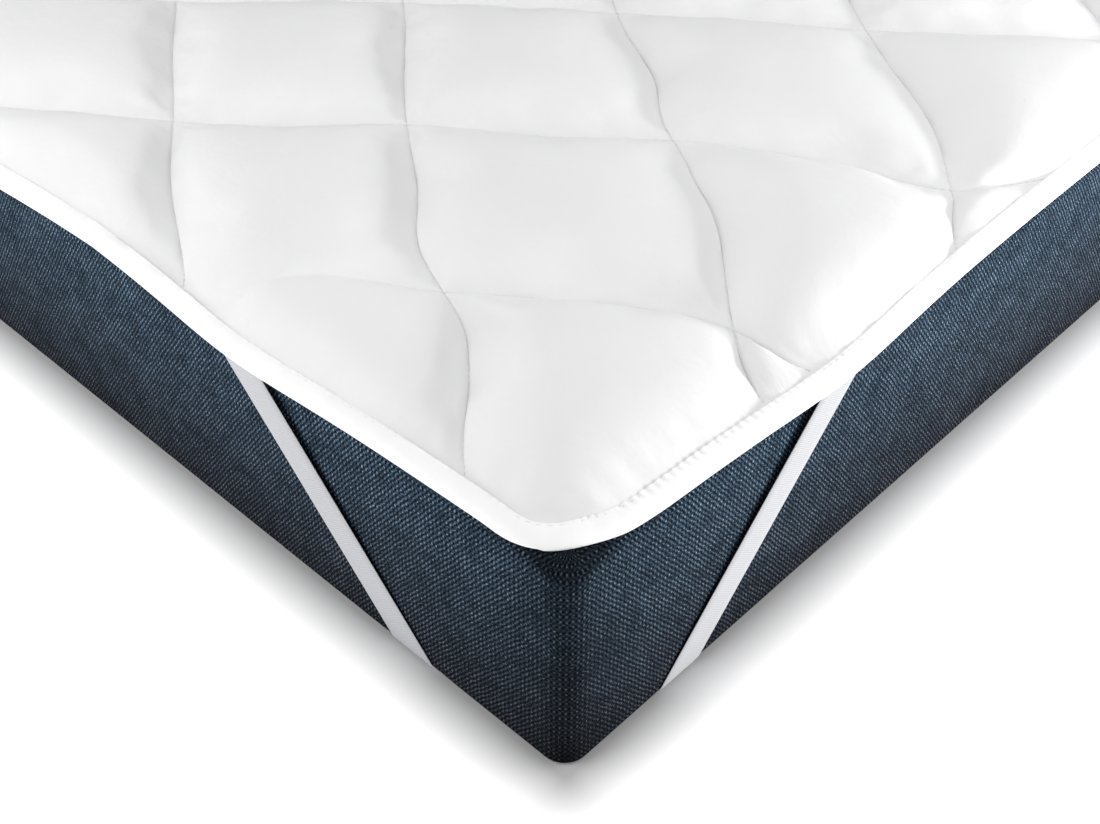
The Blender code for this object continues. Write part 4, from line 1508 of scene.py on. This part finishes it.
class TOPPER_OT_quilt(bpy.types.Operator):
    """Build the quilted pad, let its cloth settle over the filling, and sew its diamonds"""

    bl_idname = "topper.quilt"
    bl_label = "Build quilted pad"

    def execute(self, context):
        scene = context.scene
        quilt, tape, stitch = scene.topper_quilt, scene.topper_tape, scene.topper_stitch
        item, chains = build_quilt(quilt, tape)
        cotton = cotton_material(
            "quilted_cotton", quilt.cotton, thread_pitch=0.0005, dent=0.035, crease=0.007, depth=0.0019
        )
        set_material(item, cotton)
        dress(item, ["quilted_pad"])
        thread = bpy.data.materials.get("sewing_thread") or thread_material(stitch)
        rise = Vector((0.0, 0.0, stitch.thread * QUILT_STITCH_RISE))
        lifted = [tuple(p + rise for p in pair) for pair in chains]
        stitches = sew("quilting_stitches", lifted, stitch.quilt_pitch, stitch.thread, thread)
        dress(stitches, [])
        return {"FINISHED"}


class TOPPER_OT_edge_tape(bpy.types.Operator):
    """Fold the tape round the topper's rim and sew it down"""

    bl_idname = "topper.edge_tape"
    bl_label = "Build edge tape"

    def execute(self, context):
        tape, stitch = context.scene.topper_tape, context.scene.topper_stitch
        item, rim, run, girth, pitch = build_edge_tape(tape, stitch.tape_pitch)
        cotton = cotton_material(
            "edge_tape_cotton", tape.cotton, thread_pitch=0.0009, dent=0.02, crease=0.005, depth=0.0005
        )
        set_material(item, cotton)
        dress(item, ["edge_tape"])
        inward, above = tape.width - TAPE_STITCH_INSET, tape.half_height + TAPE_STITCH_RISE
        line = [station.at(inward, above) for station in rim.stations]
        thread = bpy.data.materials.get("sewing_thread") or thread_material(stitch)
        stitches = sew("tape_stitches", list(zip(line, line[1:] + line[:1])), pitch, stitch.thread, thread)
        dress(stitches, [])
        return {"FINISHED"}


class TOPPER_OT_straps(bpy.types.Operator):
    """Stretch an elastic strap from side to side under each corner"""

    bl_idname = "topper.straps"
    bl_label = "Build corner straps"

    def execute(self, context):
        strap = context.scene.topper_strap
        elastic = elastic_material(strap)
        radius = context.scene.topper_mattress.bottom_radius
        for corner, (sign_x, sign_y) in CORNERS.items():
            item, run = build_strap(f"corner_strap_{corner}", sign_x, sign_y, strap, radius)
            set_material(item, elastic)
            dress(item, [f"strap_{corner}"])
        return {"FINISHED"}


# -------------------------------------------------------------------------------- studio

CAMERA_PLACE = Vector((0.8322, -1.4124, 0.8095))
CAMERA_LOOK = Vector((-0.5144, 0.5363, -0.6691))
SENSOR_WIDTH = 36.0


def aim(item, direction):
    item.rotation_euler = direction.to_track_quat("-Z", "Y").to_euler()


def softbox(name, place, target, size, power):
    """A rectangular area light aimed at a spot."""
    light = bpy.data.lights.new(name, "AREA")
    light.shape = "RECTANGLE"
    light.size, light.size_y = size
    light.energy = power
    item = new_object(name, light)
    item.location = place
    aim(item, target - place)


# A painted shadow round the mattress: how far from the mattress the floor's glow starts, and where it is whole
PAINTED_FLOOR_SHADOW = (0.002, 0.043)

# How far out the floor goes, how far below the mattress it lies, and how its tone varies
FLOOR_REACH = 40.0
FLOOR_BELOW = 0.0002
FLOOR_MOTTLE_SCALE, FLOOR_MOTTLE = 2.0, 0.995


def floor_material(tint, glow):
    """A pale floor that glows softly, but for a painted shadow round the mattress where its glow fades."""
    material, nodes, shader, _ = start_material("studio_floor", roughness=0.9, sheen=0.0)
    place = nodes.add("ShaderNodeTexCoord").outputs["Object"]
    tone = nodes.noise(place, FLOOR_MOTTLE_SCALE, 2.0)
    colours = nodes.mix_colour(tone, darker(tint, FLOOR_MOTTLE), (*tint, 1.0))
    nodes.join(colours, shader.inputs["Base Color"])
    # The glow fades beside the mattress, which paints a shadow there
    parts = nodes.add("ShaderNodeSeparateXYZ")
    nodes.join(place, parts.inputs[0])
    squares = []
    for axis, half in (("X", BED_WIDTH / 2), ("Y", BED_LENGTH / 2)):
        beyond = nodes.math("SUBTRACT", nodes.math("ABSOLUTE", parts.outputs[axis]), half)
        squares.append(nodes.math("POWER", nodes.math("MAXIMUM", beyond, 0.0), 2.0))
    away = nodes.math("SQRT", nodes.math("ADD", *squares))
    clear = nodes.spread(away, *PAINTED_FLOOR_SHADOW)
    shine = nodes.mix_colour(clear, (0.0, 0.0, 0.0, 1.0), (1.0, 1.0, 1.0, 1.0))
    nodes.join(shine, shader.inputs["Emission Color"])
    shader.inputs["Emission Strength"].default_value = glow
    return material


# The softboxes, each placed from the foot of the nearest corner and aimed at one spot over the corner panel
Softbox = namedtuple("Softbox", "name place size power")
SOFTBOXES = (
    Softbox("top_softbox", (-0.60, 0.60, 3.20), (1.0, 1.0), "top_watts"),
    Softbox("left_low_softbox", (-0.95, -0.95, 0.50), (1.2, 0.7), "left_low_watts"),
    Softbox("left_high_softbox", (-0.95, -0.95, 1.20), (1.2, 0.8), "left_high_watts"),
    Softbox("right_low_softbox", (1.20, 1.20, 0.29), (1.4, 0.25), "right_low_watts"),
    Softbox("right_high_softbox", (0.40, 0.90, 0.75), (0.7, 0.5), "right_high_watts"),
)
NEAREST = Vector((BED_HIGH.x, BED_LOW.y, 0.0))
LIT_MIDDLE = Vector((-0.30, 0.30, 0.15))


class TOPPER_OT_studio(bpy.types.Operator):
    """Set up the pale floor, the soft lights and the camera"""

    bl_idname = "topper.studio"
    bl_label = "Set up studio"

    def execute(self, context):
        studio, scene = context.scene.topper_studio, context.scene
        signs = ((-1, -1), (1, -1), (1, 1), (-1, 1))
        corners = [(FLOOR_REACH * x, FLOOR_REACH * y, -FLOOR_BELOW) for x, y in signs]
        floor = new_object("studio_floor", new_mesh("studio_floor", corners, [(0, 1, 2, 3)]))
        set_material(floor, floor_material(studio.floor, studio.floor_glow))

        for name, place, size, power in SOFTBOXES:
            softbox(name, NEAREST + Vector(place), NEAREST + LIT_MIDDLE, size, getattr(studio, power))

        world = bpy.data.worlds.new("white_studio")
        world.use_nodes = True
        background = world.node_tree.nodes["Background"]
        background.inputs["Color"].default_value = (1.0, 1.0, 1.0, 1.0)
        background.inputs["Strength"].default_value = studio.surround
        scene.world = world

        lens = bpy.data.cameras.new("product_camera")
        lens.lens, lens.sensor_width, lens.sensor_fit = studio.lens, SENSOR_WIDTH, "HORIZONTAL"
        camera = new_object("product_camera", lens)
        camera.location = CAMERA_PLACE
        aim(camera, CAMERA_LOOK)
        scene.camera = camera
        scene.view_settings.view_transform = "Standard"
        return {"FINISHED"}


# -------------------------------------------------------------------------------- panel

class TOPPER_PT_panel(bpy.types.Panel):
    """Lists the topper's settings, each group with its button"""

    bl_label = "Mattress topper"
    bl_idname = "TOPPER_PT_panel"
    bl_space_type = "VIEW_3D"
    bl_region_type = "UI"
    bl_category = "Topper"

    def draw(self, context):
        for settings, (group, operators) in PANEL.items():
            box = self.layout.box()
            values = getattr(context.scene, settings)
            for name in group.__annotations__:
                box.prop(values, name)
            for operator in operators:
                box.operator(operator)


PANEL = {
    "topper_mattress": (MattressSettings, ["topper.mattress"]),
    "topper_quilt": (QuiltSettings, ["topper.quilt"]),
    "topper_tape": (TapeSettings, ["topper.edge_tape"]),
    "topper_strap": (StrapSettings, ["topper.straps"]),
    "topper_stitch": (StitchSettings, []),
    "topper_studio": (StudioSettings, ["topper.studio"]),
}
OPERATORS = (TOPPER_OT_mattress, TOPPER_OT_quilt, TOPPER_OT_edge_tape, TOPPER_OT_straps, TOPPER_OT_studio)


def register():
    for settings, (group, _) in PANEL.items():
        bpy.utils.register_class(group)
        setattr(bpy.types.Scene, settings, PointerProperty(type=group))
    for operator in (*OPERATORS, TOPPER_PT_panel):
        bpy.utils.register_class(operator)


def unregister():
    for operator in (TOPPER_PT_panel, *OPERATORS[::-1]):
        bpy.utils.unregister_class(operator)
    for settings, (group, _) in PANEL.items():
        delattr(bpy.types.Scene, settings)
        bpy.utils.unregister_class(group)


def main():
    register()
    bpy.ops.topper.mattress()
    bpy.ops.topper.quilt()
    bpy.ops.topper.edge_tape()
    bpy.ops.topper.straps()
    bpy.ops.topper.studio()


if __name__ == "__main__":
    main()
